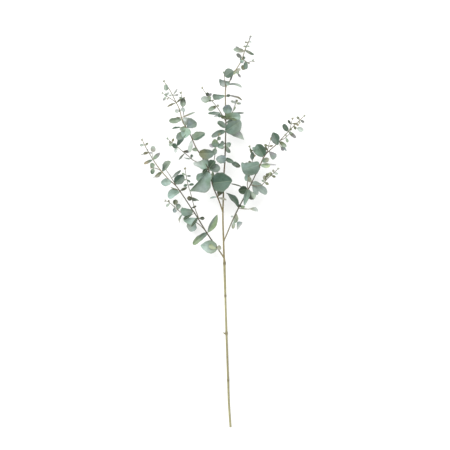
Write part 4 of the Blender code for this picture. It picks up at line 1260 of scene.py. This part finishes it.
route = [(3, 845, 31.5), (2, 858, 37), (0, 869, 41), (-1, 884, 43)]
leaves = [
    leaf(-1, 878, 34, 27, 24, "grey/slate", 6, form="round"),
]
grow_twig("twig_leader_3", route, leaves, radius=1.0)

route = [(45, 924, 22.6), (50, 919, 26), (58, 914, 28), (68, 917, 29)]
leaves = [
    leaf(52, 918, 257, 24, 13, "olive", 6, form="round", stalk=9),
    strap(54, 918, 271, 21, 11, "slate", 12),
    leaf(56, 915, -22, 9, 4, "dusty"),
]
grow_twig("twig_leader_4", route, leaves, radius=0.95)


# The surface and the light
# A pale acrylic light panel in a white photo tent: soft light from all round, a large lamp from
# the upper left that shapes the leaves, and a faint glow from below that clears away the shadows.
PANEL_SIZE = 12.0
PANEL_COLOUR = "#c2c2c1"
PANEL_GLOW = 0.4
TENT_STRENGTH = 1.05
LAMP_STRENGTH = 3.1
LAMP_ANGLE = 50.0
LAMP_TILT = (38.0, -28.0)
# The panel's fine matte grain and its depth, in millimetres.
PANEL_GRAIN = 1.1
PANEL_GRAIN_DEPTH = 0.05

panel_material, panel_tree, panel_shader = new_material("pale_acrylic_panel")
panel_where = add(panel_tree, "TexCoord").outputs["Object"]
grain_scale = 1 / (PANEL_GRAIN * MM)
panel_grain = add(panel_tree, "TexNoise", {"Vector": panel_where, "Scale": grain_scale, "Detail": 3.0})
panel_shader.inputs["Base Color"].default_value = (*linear(PANEL_COLOUR), 1)
panel_shader.inputs["Roughness"].default_value = 0.8
panel_shader.inputs["Emission Color"].default_value = (1, 1, 1, 1)
panel_shader.inputs["Emission Strength"].default_value = PANEL_GLOW
panel_relief = add(
    panel_tree, "Bump", {"Height": panel_grain, "Strength": 0.1, "Distance": PANEL_GRAIN_DEPTH * MM}
)
panel_tree.links.new(panel_relief.outputs[0], panel_shader.inputs["Normal"])
panel_mesh = bpy.data.meshes.new("panel")
half_panel = PANEL_SIZE / 2
panel_corners = [(-half_panel, -half_panel, 0), (half_panel, -half_panel, 0)]
panel_corners += [(half_panel, half_panel, 0), (-half_panel, half_panel, 0)]
panel_mesh.from_pydata(panel_corners, [], [(0, 1, 2, 3)])
panel_mesh.materials.append(panel_material)
panel = put("panel", panel_mesh)

tent = bpy.data.worlds.new("photo_tent")
tent.use_nodes = True
tent_light = tent.node_tree.nodes["Background"]
tent_light.inputs["Color"].default_value = (1, 1, 1, 1)
tent_light.inputs["Strength"].default_value = TENT_STRENGTH
bpy.context.scene.world = tent

lamp_data = bpy.data.lights.new("lamp", "SUN")
lamp_data.energy = LAMP_STRENGTH
lamp_data.angle = math.radians(LAMP_ANGLE)
lamp = put("lamp", lamp_data)
lamp.rotation_euler = (math.radians(-LAMP_TILT[0]), math.radians(LAMP_TILT[1]), 0)
bpy.context.scene.view_settings.view_transform = "Standard"
